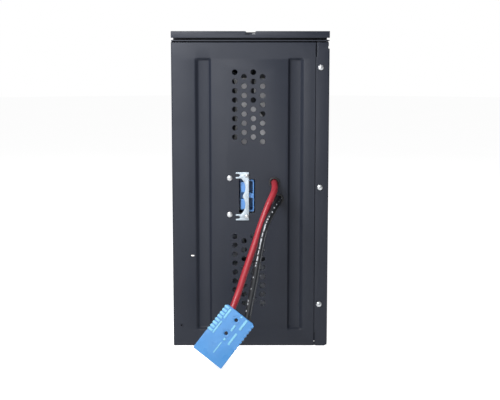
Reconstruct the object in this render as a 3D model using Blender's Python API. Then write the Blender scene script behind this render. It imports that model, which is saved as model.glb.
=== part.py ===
"""External battery pack: a sheet-steel tower with a DC socket and a plug on two short free leads.

Lengths are in metres. The face with the socket and the leads looks along -Y, +X is to its right and +Z is up.
The origin is the middle of the footprint, on the surface that the pack stands on.
"""
import math

import bmesh
import bpy
from mathutils import Matrix, Vector

MM = 0.001
GAP = 0.3 * MM  # clearance between pieces that touch

# Cabinet
WIDTH = 220 * MM
DEPTH = 425 * MM
HEIGHT = 448 * MM
SHEET = 1.2 * MM
REAR_STAND_OFF = 4.5 * MM  # how far the bracket's screws stand out of the rear face
BEZEL_DEPTH = 22 * MM
PANEL_BOTTOM = 0.4 * MM
PANEL_TOP = 432.6 * MM
TOP_PANEL_BOTTOM = 434.3 * MM
TOP_PANEL_PLATE = 1.5 * MM
LID_SKIRT_BOTTOM = 438.7 * MM
LID_TOP = 444.8 * MM
REAR = -DEPTH / 2 + REAR_STAND_OFF
FRONT = DEPTH / 2
CHASSIS_FRONT = FRONT - BEZEL_DEPTH - GAP

# Side cover and its flange on the rear face
SEAM_X = 91 * MM
JOGGLE = SHEET + GAP
COVER_SKIN_TOP = 423.8 * MM  # above it the side of the cover is open and shows the rail inside
FLANGE_SLIT = 2 * MM
FLANGE_SLIT_HEIGHT = 20 * MM
COVER_CHAMFER = 4 * MM
COVER_SCREW_X = 98 * MM
COVER_SCREW_HEIGHTS = {"lower": 61.5 * MM, "middle": 230 * MM, "upper": 398 * MM}

# Channels pressed into the rear panel: the outer wall slopes more gently than the inner one
CHANNEL_BOTTOM = 23 * MM
CHANNEL_TOP = 412 * MM
CHANNEL_DEPTH = 5 * MM
CHANNEL_OUTER_RUN = 6 * MM
CHANNEL_INNER_RUN = 3.4 * MM
CHANNEL_END_RUN = 4 * MM
LEFT_CHANNEL = (-78 * MM, -54 * MM)
RIGHT_CHANNEL = (52 * MM, 75.5 * MM)

# Vents: columns of round holes, every other column lowered by half a pitch
VENT_RADIUS = 3.7 * MM
VENT_COLUMNS = 4
VENT_ROWS = 8
VENT_PITCH = 12.9 * MM
VENT_FIRST_X = -21.5 * MM
VENT_TOP_HEIGHTS = (391.5 * MM, 159.8 * MM)

# Socket, its opening and the bracket that holds a mated plug's cables
SOCKET_X = -4.7 * MM
SOCKET_Z = 217.6 * MM
SOCKET_RECESS = 5 * MM
OPENING_WIDTH = 22.6 * MM
OPENING_HEIGHT = 48.5 * MM
BRACKET_LEFT = -20.5 * MM
BRACKET_RIGHT = -1.8 * MM
BRACKET_BOTTOM = 183.2 * MM
BRACKET_TOP = 251.7 * MM
BRACKET_THICKNESS = 1.5 * MM
EAR_HEIGHT = 8.8 * MM
EAR_SLOT_RADIUS = 2.1 * MM
EAR_SLOT_DEPTH = 6 * MM
STRIP_LEFT = -13 * MM
SCALLOP_RADIUS = 18.2 * MM
SCALLOP_X = -25.2 * MM
SCALLOP_SPACING = 24 * MM
BRACKET_SCREWS = {"upper": (-5 * MM, 247 * MM), "lower": (-5 * MM, 189 * MM)}
SOCKET_SCREWS = {"upper": (-29 * MM, 243.3 * MM), "lower": (-29 * MM, 191.4 * MM)}

# Screws
SCREW_HEAD_RADIUS = 4 * MM
BRACKET_SCREW_HEAD_RADIUS = 3 * MM
SCREW_HEAD_HEIGHT = 2.3 * MM
SCREW_RADIUS = 2 * MM
SCREW_LENGTH = 8 * MM
SCREW_HOLE_RADIUS = 2.5 * MM

# Two-pole connector: the plug, and the slightly smaller socket
PLUG_LENGTH = 73 * MM
PLUG_WIDTH = 47.5 * MM
PLUG_THICKNESS = 21.5 * MM
SOCKET_LENGTH = 70 * MM
SOCKET_WIDTH = 46 * MM
SOCKET_THICKNESS = 20 * MM
POLE_SPACING = 24 * MM
CAVITY_DEPTH = 28 * MM
CAVITY_WIDTH = 18 * MM
CAVITY_THICKNESS = 7.5 * MM
GRIP_TEETH = 8
GRIP_LENGTH = 43 * MM
GRIP_HEIGHT = 0.8 * MM
RIVET_HOLE_RADIUS = 2.4 * MM
RIVET_HOLES = (9.9 * MM, 31.7 * MM)
CAVITY_OFFSET = 0.5 * MM  # the cavities start this far from the middle of the thickness
CONTACT_HALF_WIDTH = 6 * MM
CONTACT_TOP = 2.8 * MM
ENTRY_RADIUS = 7 * MM
ENTRY_DEPTH = 8 * MM

# Free leads: they leave their grommets along -Y, drop under their own weight and end in the plug
LEAD_RADIUS = 4.5 * MM
GROMMET_RADIUS = 7.9 * MM
GROMMET_HOLE_RADIUS = 7 * MM
RED_OUTLET = (33.8 * MM, 237 * MM)
BLACK_OUTLET = (39.3 * MM, 213.5 * MM)
LEAD_STEP = 15 * MM
# Each point is (x, distance in front of the rear face, z), in millimetres.
RED_ROUTE = [(34.0, 22, 235.8), (33.2, 34, 230.8), (30.1, 42.8, 224.1), (25.0, 49.8, 214.1),
             (18.6, 56.7, 198.6), (12.0, 63, 180.4), (5.0, 69.5, 159.5), (-2.5, 76, 138.7),
             (-9.8, 82, 117.8), (-15.9, 87, 99.6)]
BLACK_ROUTE = [(38.9, 23, 213.3), (37.0, 37, 212.6), (33.7, 50.1, 209.8), (28.9, 60.6, 203.3),
               (23.2, 68.5, 193.7), (17.9, 74, 178.2), (13.2, 79, 157.2), (9.4, 84, 136.2),
               (5.6, 89, 115.3), (1.3, 93.5, 94.3)]
# Where each lead crosses the plug's wire end and where it stops inside, as (x, z) in the plug's own frame.
RED_ENTRY = [(-14.0 * MM, 0.5 * MM), (-12.0 * MM, -5.7 * MM)]
BLACK_ENTRY = [(10.2 * MM, 0.5 * MM), (12.0 * MM, -5.7 * MM)]
PLUG_TURN = math.radians(37.8)  # in its own plane
PLUG_LEAN = math.radians(-16)  # top towards the cabinet
PLUG_X = -12.6 * MM
PLUG_DISTANCE = 99.4 * MM  # middle of the plug's wire end, in front of the rear face

# Batteries, in three tiers
BLOCK = Vector((65, 151, 94)) * MM
TERMINAL_HEIGHT = 6 * MM
ROW_STARTS = (-118 * MM, 35 * MM)
COLUMN_SPACING = 68 * MM
TIER_BOTTOMS = (8 * MM, 111 * MM)
UPPER_TIER_BOTTOM = 287.8 * MM
CROSSWISE_BLOCK_Y = -142.5 * MM
UPPER_ROW_START = -95 * MM
TERMINAL_SETBACK = 8 * MM  # from the middle of a terminal to the end of its block
CABLE_RADIUS = 4 * MM
FUSE_HOLDER_LOW = (45 * MM, -110 * MM)
FUSE_HOLDER_HIGH = (82 * MM, -30 * MM)
FUSE_HOLDER_HEIGHT = 28 * MM
FUSE_RADIUS = 6 * MM
FUSE_LENGTH = 60 * MM

# Feet
FOOT_RADIUS = 12 * MM
FOOT_HEIGHT = 5.7 * MM
FOOT_X = 85 * MM
FOOT_Y = 165 * MM

# Finishes: linear colour, roughness, metallic
PAINTED_STEEL = ((0.055, 0.062, 0.078), 0.55, 0.0)
BARE_ZINC = ((0.72, 0.72, 0.70), 0.35, 1.0)
BLACK_PLASTIC = ((0.03, 0.03, 0.035), 0.5, 0.0)
GREY_CASE = ((0.45, 0.45, 0.46), 0.5, 0.0)
BLUE_NYLON = ((0.12, 0.33, 0.73), 0.42, 0.0)
COPPER = ((0.75, 0.42, 0.26), 0.3, 1.0)
BLACK_RUBBER = ((0.02, 0.02, 0.02), 0.7, 0.0)
RED_JACKET = ((0.60, 0.06, 0.07), 0.45, 0.0)
BLACK_JACKET = ((0.025, 0.025, 0.028), 0.45, 0.0)


def clear_scene():
    """Remove everything from the scene."""
    for thing in list(bpy.data.objects):
        bpy.data.objects.remove(thing, do_unlink=True)


def make_material(name, colour, roughness, metallic=0.0):
    """A Principled material from a linear colour."""
    material = bpy.data.materials.new(name)
    material.use_nodes = True
    shader = material.node_tree.nodes["Principled BSDF"]
    shader.inputs["Base Color"].default_value = (*colour, 1.0)
    shader.inputs["Roughness"].default_value = roughness
    shader.inputs["Metallic"].default_value = metallic
    material.diffuse_color = (*colour, 1.0)
    return material


def add_object(name, mesh_source, finish, matrix=None, smooth=False):
    """Turn a bmesh into a named object whose faces point outwards."""
    bmesh.ops.recalc_face_normals(mesh_source, faces=mesh_source.faces)
    mesh = bpy.data.meshes.new(name)
    mesh_source.to_mesh(mesh)
    mesh_source.free()
    if smooth:
        mesh.shade_smooth()
        mesh.set_sharp_from_angle(angle=math.radians(40))
    piece = bpy.data.objects.new(name, mesh)
    bpy.context.collection.objects.link(piece)
    if matrix is not None:
        piece.matrix_world = matrix
    if finish is not None:
        colour, roughness, metallic = finish
        mesh.materials.append(make_material(name, colour, roughness, metallic))
    return piece


def add_box(source, low, high):
    """Add a box from its lowest to its highest corner."""
    low, high = Vector(low), Vector(high)
    size = high - low
    place = Matrix.Translation((low + high) / 2) @ Matrix.Diagonal((*size, 1.0))
    return bmesh.ops.create_cube(source, size=1.0, matrix=place)["verts"]


def add_rod(source, centre, axis, radius, length, sides=12):
    """Add a cylinder about a centre, along X, Y or Z."""
    turns = {"X": Matrix.Rotation(math.pi / 2, 4, "Y"), "Y": Matrix.Rotation(math.pi / 2, 4, "X"),
             "Z": Matrix()}
    place = Matrix.Translation(centre) @ turns[axis]
    bmesh.ops.create_cone(source, cap_ends=True, segments=sides, radius1=radius, radius2=radius,
                          depth=length, matrix=place)


def box(name, low, high, finish, bevel=0.0):
    """A box with an optional small bevel on its edges."""
    source = bmesh.new()
    add_box(source, low, high)
    piece = add_object(name, source, finish)
    if bevel:
        edge = piece.modifiers.new("edge", "BEVEL")
        edge.width = bevel
        edge.segments = 1
    return piece


def cut(piece, fill, matrix=None, operation="DIFFERENCE"):
    """Cut a piece with, or join to it, the solids that the function fill adds to a bmesh."""
    source = bmesh.new()
    fill(source)
    cutter = add_object(piece.name + "_cutter", source, None, matrix)
    cutter.hide_render = True
    cutter.display_type = "WIRE"
    modifier = piece.modifiers.new("cut", "BOOLEAN")
    modifier.operation = operation
    modifier.object = cutter
    return piece


def prism(name, outline, thickness, finish, place):
    """Extrude a closed outline of (x, z) points along +Y by a thickness."""
    source = bmesh.new()
    near = [source.verts.new(place(x, 0.0, z)) for x, z in outline]
    far = [source.verts.new(place(x, thickness, z)) for x, z in outline]
    source.faces.new(near)
    source.faces.new(far)
    for i in range(len(outline)):
        j = (i + 1) % len(outline)
        source.faces.new((near[i], near[j], far[j], far[i]))
    return add_object(name, source, finish)


def turned(name, profile, centre, finish, axis="Y", steps=16, closed=False):
    """Spin (radius, distance along the axis) points; a closed profile makes a ring with a bore."""
    source = bmesh.new()
    rings = []
    for radius, along in profile:
        count = steps if radius > 0 else 1
        ring = []
        for i in range(count):
            angle = 2 * math.pi * i / steps
            across = radius * math.cos(angle), radius * math.sin(angle)
            spot = (across[0], along, across[1]) if axis == "Y" else (across[0], across[1], along)
            ring.append(source.verts.new(Vector(centre) + Vector(spot)))
        rings.append(ring)
    pairs = list(zip(rings, rings[1:]))
    if closed:
        pairs.append((rings[-1], rings[0]))
    for first, second in pairs:
        for i in range(steps):
            j = (i + 1) % steps
            corners = [ring[k % len(ring)] for ring, k in ((first, i), (first, j), (second, j), (second, i))]
            source.faces.new(list(dict.fromkeys(corners)))
    return add_object(name, source, finish, smooth=True)


def smooth_route(points, step):
    """Points about one step apart along a smooth curve through the given points (Catmull-Rom)."""
    ends = [2 * points[0] - points[1], *points, 2 * points[-1] - points[-2]]
    path = [points[0]]
    for before, start, end, after in zip(ends, ends[1:], ends[2:], ends[3:]):
        count = max(1, round((end - start).length / step))
        for k in range(1, count + 1):
            t = k / count
            square = (2 * before - 5 * start + 4 * end - after) * t**2
            cube = (3 * start - before - 3 * end + after) * t**3
            path.append(0.5 * (2 * start + (end - before) * t + square + cube))
    return path


def tube(name, path, radius, finish):
    """A round solid along a path."""
    curve = bpy.data.curves.new(name, "CURVE")
    curve.dimensions = "3D"
    curve.bevel_depth = radius
    curve.bevel_resolution = 2
    curve.use_fill_caps = True
    spline = curve.splines.new("POLY")
    spline.points.add(len(path) - 1)
    for point, spot in zip(spline.points, path):
        point.co = (*spot, 1.0)
    colour, roughness, metallic = finish
    curve.materials.append(make_material(name, colour, roughness, metallic))
    piece = bpy.data.objects.new(name, curve)
    bpy.context.collection.objects.link(piece)
    return piece


def channel_depth(x, z):
    """How far the pressed channels push a point of the rear panel inwards; full depth on the floor."""
    if not CHANNEL_BOTTOM + CHANNEL_END_RUN / 2 < z < CHANNEL_TOP - CHANNEL_END_RUN / 2:
        return 0.0
    left_floor = LEFT_CHANNEL[0] + CHANNEL_OUTER_RUN - GAP, LEFT_CHANNEL[1] - CHANNEL_INNER_RUN + GAP
    right_floor = RIGHT_CHANNEL[0] + CHANNEL_INNER_RUN - GAP, RIGHT_CHANNEL[1] - CHANNEL_OUTER_RUN + GAP
    on_floor = any(low < x < high for low, high in (left_floor, right_floor))
    return CHANNEL_DEPTH if on_floor else 0.0


def rear_and_left_shell():
    """Rear panel and left side as one folded sheet, with the step that takes the side cover's flange."""
    fold = 1 * MM
    left, right = -WIDTH / 2, WIDTH / 2 - SHEET - 2 * GAP
    bends = [LEFT_CHANNEL[0], LEFT_CHANNEL[0] + CHANNEL_OUTER_RUN, LEFT_CHANNEL[1] - CHANNEL_INNER_RUN,
             LEFT_CHANNEL[1], RIGHT_CHANNEL[0], RIGHT_CHANNEL[0] + CHANNEL_INNER_RUN,
             RIGHT_CHANNEL[1] - CHANNEL_OUTER_RUN, RIGHT_CHANNEL[1]]
    outer = [(left, CHASSIS_FRONT), (left, REAR + fold), (left + fold, REAR), *((x, REAR) for x in bends),
             (SEAM_X, REAR), (SEAM_X, REAR + JOGGLE), (right, REAR + JOGGLE)]
    inner = [(left + SHEET, CHASSIS_FRONT), (left + SHEET, REAR + fold + SHEET / 2),
             (left + SHEET + fold / 2, REAR + SHEET), *((x, REAR + SHEET) for x in bends),
             (SEAM_X - SHEET, REAR + SHEET), (SEAM_X - SHEET, REAR + JOGGLE + SHEET),
             (right, REAR + JOGGLE + SHEET)]
    heights = [PANEL_BOTTOM, CHANNEL_BOTTOM, CHANNEL_BOTTOM + CHANNEL_END_RUN, CHANNEL_TOP - CHANNEL_END_RUN,
               CHANNEL_TOP, PANEL_TOP]
    source = bmesh.new()
    sides = []
    for section in (outer, inner):
        sides.append([[source.verts.new((x, y + channel_depth(x, z), z)) for z in heights]
                      for x, y in section])
    last_column, last_row = len(outer) - 1, len(heights) - 1
    for i in range(last_column):
        for j in range(last_row):
            for side in sides:
                source.faces.new((side[i][j], side[i + 1][j], side[i + 1][j + 1], side[i][j + 1]))
        for j in (0, last_row):
            source.faces.new((sides[0][i][j], sides[0][i + 1][j], sides[1][i + 1][j], sides[1][i][j]))
    for i in (0, last_column):
        for j in range(last_row):
            source.faces.new((sides[0][i][j], sides[0][i][j + 1], sides[1][i][j + 1], sides[1][i][j]))
    bmesh.ops.triangulate(source, faces=source.faces)
    shell = add_object("rear_and_left_shell", source, PAINTED_STEEL)

    def holes(source):
        through = 6 * MM
        for top in VENT_TOP_HEIGHTS:
            for column in range(VENT_COLUMNS):
                for row in range(VENT_ROWS):
                    x = VENT_FIRST_X + column * VENT_PITCH
                    z = top - (row + (column % 2) / 2) * VENT_PITCH
                    add_rod(source, (x, REAR, z), "Y", VENT_RADIUS, through)
        for x, z in (*BRACKET_SCREWS.values(), *SOCKET_SCREWS.values()):
            add_rod(source, (x, REAR, z), "Y", SCREW_HOLE_RADIUS, through, 8)
        for z in COVER_SCREW_HEIGHTS.values():
            add_rod(source, (COVER_SCREW_X, REAR, z), "Y", SCREW_HOLE_RADIUS, through, 8)
        for x, z in (RED_OUTLET, BLACK_OUTLET):
            add_rod(source, (x, REAR, z), "Y", GROMMET_HOLE_RADIUS, through, 16)
        half = Vector((OPENING_WIDTH, through, OPENING_HEIGHT)) / 2
        middle = Vector((SOCKET_X, REAR, SOCKET_Z))
        add_box(source, middle - half, middle + half)

    return cut(shell, holes)


def side_cover():
    """Right side cover, with the flange that wraps onto the rear face."""
    right = WIDTH / 2
    flange_left = SEAM_X + GAP
    section = [(flange_left, REAR), (right, REAR), (right, CHASSIS_FRONT), (right - SHEET, CHASSIS_FRONT),
               (right - SHEET, REAR + SHEET), (flange_left, REAR + SHEET)]
    source = bmesh.new()
    bottom = [source.verts.new((x, y, PANEL_BOTTOM)) for x, y in section]
    top = [source.verts.new((x, y, PANEL_TOP)) for x, y in section]
    source.faces.new(bottom)
    source.faces.new(top)
    for i in range(len(section)):
        j = (i + 1) % len(section)
        source.faces.new((bottom[i], bottom[j], top[j], top[i]))
    cover = add_object("side_cover", source, PAINTED_STEEL)

    def cuts(source):
        past = 10 * MM
        add_box(source, (right - SHEET - 0.1 * MM, REAR - past, COVER_SKIN_TOP),
                (right + past, FRONT, HEIGHT))
        slit_right = flange_left + FLANGE_SLIT
        for low, high in ((-past, FLANGE_SLIT_HEIGHT), (PANEL_TOP - FLANGE_SLIT_HEIGHT, HEIGHT)):
            add_box(source, (flange_left - past, REAR - past, low), (slit_right, REAR + past, high))
        for z in COVER_SCREW_HEIGHTS.values():
            add_rod(source, (COVER_SCREW_X, REAR, z), "Y", SCREW_HOLE_RADIUS, 6 * MM, 8)

    def corner(source):
        side = COVER_CHAMFER * math.sqrt(2)
        verts = add_box(source, (-side / 2, -side, -side / 2), (side / 2, side, side / 2))
        place = Matrix.Translation((right, REAR, PANEL_BOTTOM)) @ Matrix.Rotation(math.pi / 4, 4, "Y")
        bmesh.ops.transform(source, matrix=place, verts=verts)

    cut(cover, cuts)
    return cut(cover, corner)


def base_tray():
    """Floor of the chassis, with its edges turned up."""
    source = bmesh.new()
    low = (-WIDTH / 2 + SHEET + GAP, REAR + CHANNEL_DEPTH + SHEET + GAP, FOOT_HEIGHT + GAP)
    high = (WIDTH / 2 - SHEET - GAP, CHASSIS_FRONT - SHEET - GAP, 22 * MM)
    add_box(source, low, high)
    top = max(source.faces, key=lambda face: face.calc_center_median().z)
    bmesh.ops.inset_individual(source, faces=[top], thickness=SHEET)
    bmesh.ops.translate(source, verts=top.verts, vec=(0, 0, low[2] + SHEET - high[2]))
    return add_object("base_tray", source, PAINTED_STEEL)


def top_panel():
    """Roof of the chassis: a plate whose edge shows under the lid, and a wall inside the lid."""
    edge = 0.5 * MM
    plate_top = TOP_PANEL_BOTTOM + TOP_PANEL_PLATE
    panel = box("top_panel", (-WIDTH / 2 + edge, REAR + edge, TOP_PANEL_BOTTOM),
                (WIDTH / 2 - edge, CHASSIS_FRONT - edge, plate_top), PAINTED_STEEL)
    low = Vector((-WIDTH / 2 + 1.6 * MM, REAR + 25 * MM, plate_top))
    high = Vector((WIDTH / 2 - 2.2 * MM, CHASSIS_FRONT - 1.7 * MM, LID_TOP - SHEET - GAP))
    inset = Vector((SHEET, SHEET, 0))
    overlap = Vector((0, 0, 1 * MM))

    def wall(source):
        add_box(source, low - overlap, high)

    def tray(source):
        add_box(source, low + inset, high - inset + overlap)

    cut(panel, wall, operation="UNION")
    return cut(panel, tray)


def top_cover():
    """Lid: a shallow cover with a raised lip along the rear edge, and a notch in the lip."""
    lip = 2 * MM
    past = 20 * MM
    half = WIDTH / 2
    cover = box("top_cover", (-half, REAR, LID_SKIRT_BOTTOM), (half, CHASSIS_FRONT, HEIGHT), PAINTED_STEEL)

    def recess(source):
        add_box(source, (-half - past, REAR + lip, LID_TOP), (half + past, FRONT + past, HEIGHT + past))

    def inside(source):
        add_box(source, (-half + SHEET, REAR + SHEET, LID_SKIRT_BOTTOM - past),
                (half - SHEET, CHASSIS_FRONT - SHEET, LID_TOP - SHEET))

    def notch(source):
        left, right, foot = -6.9 * MM, 7.3 * MM, 445 * MM
        slope = 3 * MM
        outline = [(left, HEIGHT), (left + slope, foot), (right, foot), (right, HEIGHT + past),
                   (left - slope, HEIGHT + past)]
        near, far = REAR - past, REAR + lip + 1 * MM
        ends = [[source.verts.new((x, y, z)) for x, z in outline] for y in (near, far)]
        source.faces.new(ends[0])
        source.faces.new(ends[1])
        for i in range(len(outline)):
            j = (i + 1) % len(outline)
            source.faces.new((ends[0][i], ends[0][j], ends[1][j], ends[1][i]))

    for shape in (recess, inside, notch):
        cut(cover, shape)
    return cover


def chassis():
    """Sheet parts inside the covers."""
    inner_left = -WIDTH / 2 + SHEET + GAP
    inner_right = WIDTH / 2 - SHEET - GAP
    front_low = (inner_left, CHASSIS_FRONT - SHEET, FOOT_HEIGHT)
    box("front_panel", front_low, (inner_right, CHASSIS_FRONT, PANEL_TOP), PAINTED_STEEL)
    rail_rear = REAR + CHANNEL_DEPTH + 2 * SHEET
    rail_front = CHASSIS_FRONT - SHEET - GAP
    rail_left, rail_bottom, rail_top = inner_right - 16 * MM, PANEL_TOP - 22 * MM, TOP_PANEL_BOTTOM - GAP
    rail = [(inner_right, rail_top), (inner_right, rail_bottom), (inner_right - SHEET, rail_bottom),
            (inner_right - SHEET, rail_top - SHEET), (rail_left, rail_top - SHEET), (rail_left, rail_top)]
    prism("upper_side_rail", rail, rail_front - rail_rear, PAINTED_STEEL,
          lambda x, y, z: (x, rail_rear + y, z))
    shelf_top = UPPER_TIER_BOTTOM - GAP
    shelf_right = inner_right - SHEET - GAP
    box("upper_shelf", (inner_left, -180 * MM, shelf_top - SHEET), (shelf_right, 150 * MM, shelf_top),
        PAINTED_STEEL)
    divider_top = TIER_BOTTOMS[1] - GAP
    box("tier_divider", (inner_left, -100 * MM, divider_top - SHEET), (shelf_right, rail_front, divider_top),
        PAINTED_STEEL)
    bar_low = UPPER_TIER_BOTTOM + BLOCK.z + GAP
    box("hold_down_bar", (inner_left, -30 * MM, bar_low), (shelf_right, -10 * MM, bar_low + 2 * MM),
        BARE_ZINC)


def front_bezel():
    """Moulded front cover, open at the back, with blind louvres in its lower third."""
    half = WIDTH / 2 - 0.5 * MM
    wall = 2.5 * MM
    low = (-half, FRONT - BEZEL_DEPTH, 3 * MM)
    high = (half, FRONT, LID_TOP - 0.5 * MM)
    source = bmesh.new()
    add_box(source, low, high)
    front_edges = [e for e in source.edges if all(v.co.y > FRONT - MM for v in e.verts)]
    bmesh.ops.bevel(source, geom=front_edges, offset=5 * MM, segments=2, profile=0.5, affect="EDGES")
    back = min(source.faces, key=lambda face: face.calc_center_median().y)
    bmesh.ops.inset_individual(source, faces=[back], thickness=wall + 2.5 * MM)
    bmesh.ops.translate(source, verts=back.verts, vec=(0, BEZEL_DEPTH - 2 * wall, 0))
    bezel = add_object("front_bezel", source, BLACK_PLASTIC)

    def louvres(source):
        for i in range(8):
            z = (50 + 12 * i) * MM
            add_box(source, (-80 * MM, FRONT - 2 * MM, z), (80 * MM, FRONT + 5 * MM, z + 5 * MM))

    return cut(bezel, louvres)


def feet():
    """Four rubber pads under the floor."""
    profile = [(0, 0), (FOOT_RADIUS - 1.5 * MM, 0), (FOOT_RADIUS, 1.5 * MM), (FOOT_RADIUS, FOOT_HEIGHT),
               (0, FOOT_HEIGHT)]
    for end, y in (("rear", -FOOT_Y), ("front", FOOT_Y)):
        for side, x in (("left", -FOOT_X), ("right", FOOT_X)):
            turned(f"foot_pad_{end}_{side}", profile, (x, y, 0), BLACK_RUBBER, axis="Z")


def pan_screw(name, x, z, seat, r=SCREW_HEAD_RADIUS):
    """Pan-head screw whose head, of radius r, sits against the plane y = seat; its shank runs along +Y."""
    h = SCREW_HEAD_HEIGHT
    profile = [(0, -h), (0.55 * r, -0.95 * h), (0.9 * r, -0.6 * h), (r, -0.15 * h), (r, 0),
               (SCREW_RADIUS, 0), (SCREW_RADIUS, SCREW_LENGTH), (0, SCREW_LENGTH)]
    turned(name, profile, (x, seat - GAP, z), BARE_ZINC, steps=12)


def bracket():
    """Plate with two slotted ears and two scallops that clear the cables of a mated plug."""
    outline = [(BRACKET_RIGHT, BRACKET_BOTTOM), (BRACKET_RIGHT, BRACKET_TOP), (BRACKET_LEFT, BRACKET_TOP)]

    def slotted_ear(top, bottom):
        middle = (top + bottom) / 2
        centre_x = BRACKET_LEFT + EAR_SLOT_DEPTH - EAR_SLOT_RADIUS
        points = [(BRACKET_LEFT, middle + EAR_SLOT_RADIUS)]
        for i in range(7):
            angle = math.pi / 2 - math.pi * i / 6
            points.append((centre_x + EAR_SLOT_RADIUS * math.cos(angle),
                           middle + EAR_SLOT_RADIUS * math.sin(angle)))
        points.append((BRACKET_LEFT, middle - EAR_SLOT_RADIUS))
        return points

    def scallop(centre_z):
        reach = math.asin(SCALLOP_SPACING / 2 / SCALLOP_RADIUS)
        angles = [reach * (1 - i / 4) for i in range(9)]
        return [(SCALLOP_X + SCALLOP_RADIUS * math.cos(angle), centre_z + SCALLOP_RADIUS * math.sin(angle))
                for angle in angles]

    ear_foot = BRACKET_TOP - EAR_HEIGHT
    lower_ear_top = BRACKET_BOTTOM + EAR_HEIGHT
    outline += slotted_ear(BRACKET_TOP, ear_foot)
    outline += [(BRACKET_LEFT, ear_foot), (STRIP_LEFT, ear_foot)]
    outline += scallop(SOCKET_Z + SCALLOP_SPACING / 2)
    outline += scallop(SOCKET_Z - SCALLOP_SPACING / 2)[1:]
    outline += [(STRIP_LEFT, lower_ear_top), (BRACKET_LEFT, lower_ear_top)]
    outline += slotted_ear(lower_ear_top, BRACKET_BOTTOM)
    outline += [(BRACKET_LEFT, BRACKET_BOTTOM)]
    near = REAR - GAP - BRACKET_THICKNESS
    plate = prism("plug_retaining_bracket", outline, BRACKET_THICKNESS, BARE_ZINC,
                  lambda x, y, z: (x, near + y, z))

    def holes(source):
        for x, z in BRACKET_SCREWS.values():
            add_rod(source, (x, near, z), "Y", SCREW_HOLE_RADIUS, 8 * MM, 8)

    cut(plate, holes)
    for place, (x, z) in BRACKET_SCREWS.items():
        pan_screw(f"bracket_screw_{place}", x, z, near, BRACKET_SCREW_HEAD_RADIUS)


def connector(name, contact_names, matrix, size, grip):
    """Two-pole housing: wires enter at local z = 0, the mating face is at -Z, the cavities lie on +Y."""
    width, thickness, length = size
    half = width / 2
    shank = half - GRIP_HEIGHT
    side = []
    if grip:
        tooth = GRIP_LENGTH / GRIP_TEETH
        for i in range(GRIP_TEETH):
            top = -i * tooth
            side += [(shank, top), (half, top - 0.3 * tooth), (half, top - 0.7 * tooth)]
        side += [(shank, -GRIP_LENGTH), (half - 0.3 * MM, -GRIP_LENGTH - 1 * MM)]
        side += [(half - 0.3 * MM, -length)]
    else:
        side += [(half, 0), (half, -length)]
    outline = side + [(-x, z) for x, z in reversed(side)]
    housing = prism(name, outline, thickness, BLUE_NYLON,
                    lambda x, y, z: matrix @ Vector((x, y - thickness / 2, z)))
    mating = -length

    def hollows(source):
        for sign in (-1, 1):
            x = sign * POLE_SPACING / 2
            near = (x - CAVITY_WIDTH / 2, CAVITY_OFFSET, mating - 5 * MM)
            far = (x + CAVITY_WIDTH / 2, CAVITY_OFFSET + CAVITY_THICKNESS, mating + CAVITY_DEPTH)
            add_box(source, near, far)
            add_rod(source, (x, 0, 0), "Z", ENTRY_RADIUS, 2 * ENTRY_DEPTH, 16)
        if grip:
            for z in RIVET_HOLES:
                add_rod(source, (0, 0, -z), "Y", RIVET_HOLE_RADIUS, 2 * thickness)

    cut(housing, hollows, matrix)
    for sign, contact_name in zip((-1, 1), contact_names):
        source = bmesh.new()
        x = sign * POLE_SPACING / 2
        add_box(source, (x - CONTACT_HALF_WIDTH, CAVITY_OFFSET + GAP, mating + 4 * MM),
                (x + CONTACT_HALF_WIDTH, CAVITY_OFFSET + CONTACT_TOP, mating + CAVITY_DEPTH - GAP))
        add_object(contact_name, source, COPPER, matrix)
    return housing


def socket():
    """Panel socket, its mounting plate and their screws."""
    upright = Matrix(((0, 1, 0, SOCKET_X), (0, 0, 1, REAR + SOCKET_RECESS + SOCKET_LENGTH),
                      (1, 0, 0, SOCKET_Z), (0, 0, 0, 1)))
    names = ("socket_contact_lower", "socket_contact_upper")
    connector("socket_housing", names, upright, (SOCKET_WIDTH, SOCKET_THICKNESS, SOCKET_LENGTH), grip=False)
    near = REAR + SHEET + GAP
    plate = box("socket_plate", (-37 * MM, near, 181 * MM), (12 * MM, near + 1.5 * MM, 255 * MM), BARE_ZINC)

    def window(source):
        half = Vector((OPENING_WIDTH, 20 * MM, OPENING_HEIGHT)) / 2
        middle = Vector((SOCKET_X, REAR, SOCKET_Z))
        add_box(source, middle - half, middle + half)
        for x, z in (*BRACKET_SCREWS.values(), *SOCKET_SCREWS.values()):
            add_rod(source, (x, REAR, z), "Y", SCREW_HOLE_RADIUS, 20 * MM, 8)

    cut(plate, window)
    for place, (x, z) in SOCKET_SCREWS.items():
        pan_screw(f"socket_screw_{place}", x, z, REAR)


def grommet(name, x, z):
    """Rubber ring that grips the edge of its hole."""
    bore = LEAD_RADIUS + 0.4 * MM
    neck = GROMMET_HOLE_RADIUS - 0.4 * MM
    profile = [(bore, -2.5 * MM), (GROMMET_RADIUS - 1 * MM, -2.5 * MM), (GROMMET_RADIUS, -1.5 * MM),
               (GROMMET_RADIUS, -GAP), (neck, -GAP), (neck, SHEET + GAP), (GROMMET_RADIUS, SHEET + GAP),
               (GROMMET_RADIUS, 3.5 * MM), (bore, 3.5 * MM)]
    turned(name, profile, (x, REAR, z), BLACK_RUBBER, steps=20, closed=True)


def plug_matrix():
    """The plug leans on one corner; its height is what brings that corner just above the surface."""
    turn = Matrix.Rotation(PLUG_LEAN, 4, "X") @ Matrix.Rotation(PLUG_TURN, 4, "Y")
    lowest = turn @ Vector((PLUG_WIDTH / 2, PLUG_THICKNESS / 2, -PLUG_LENGTH))
    return Matrix.Translation((PLUG_X, REAR - PLUG_DISTANCE, GAP - lowest.z)) @ turn


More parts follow.
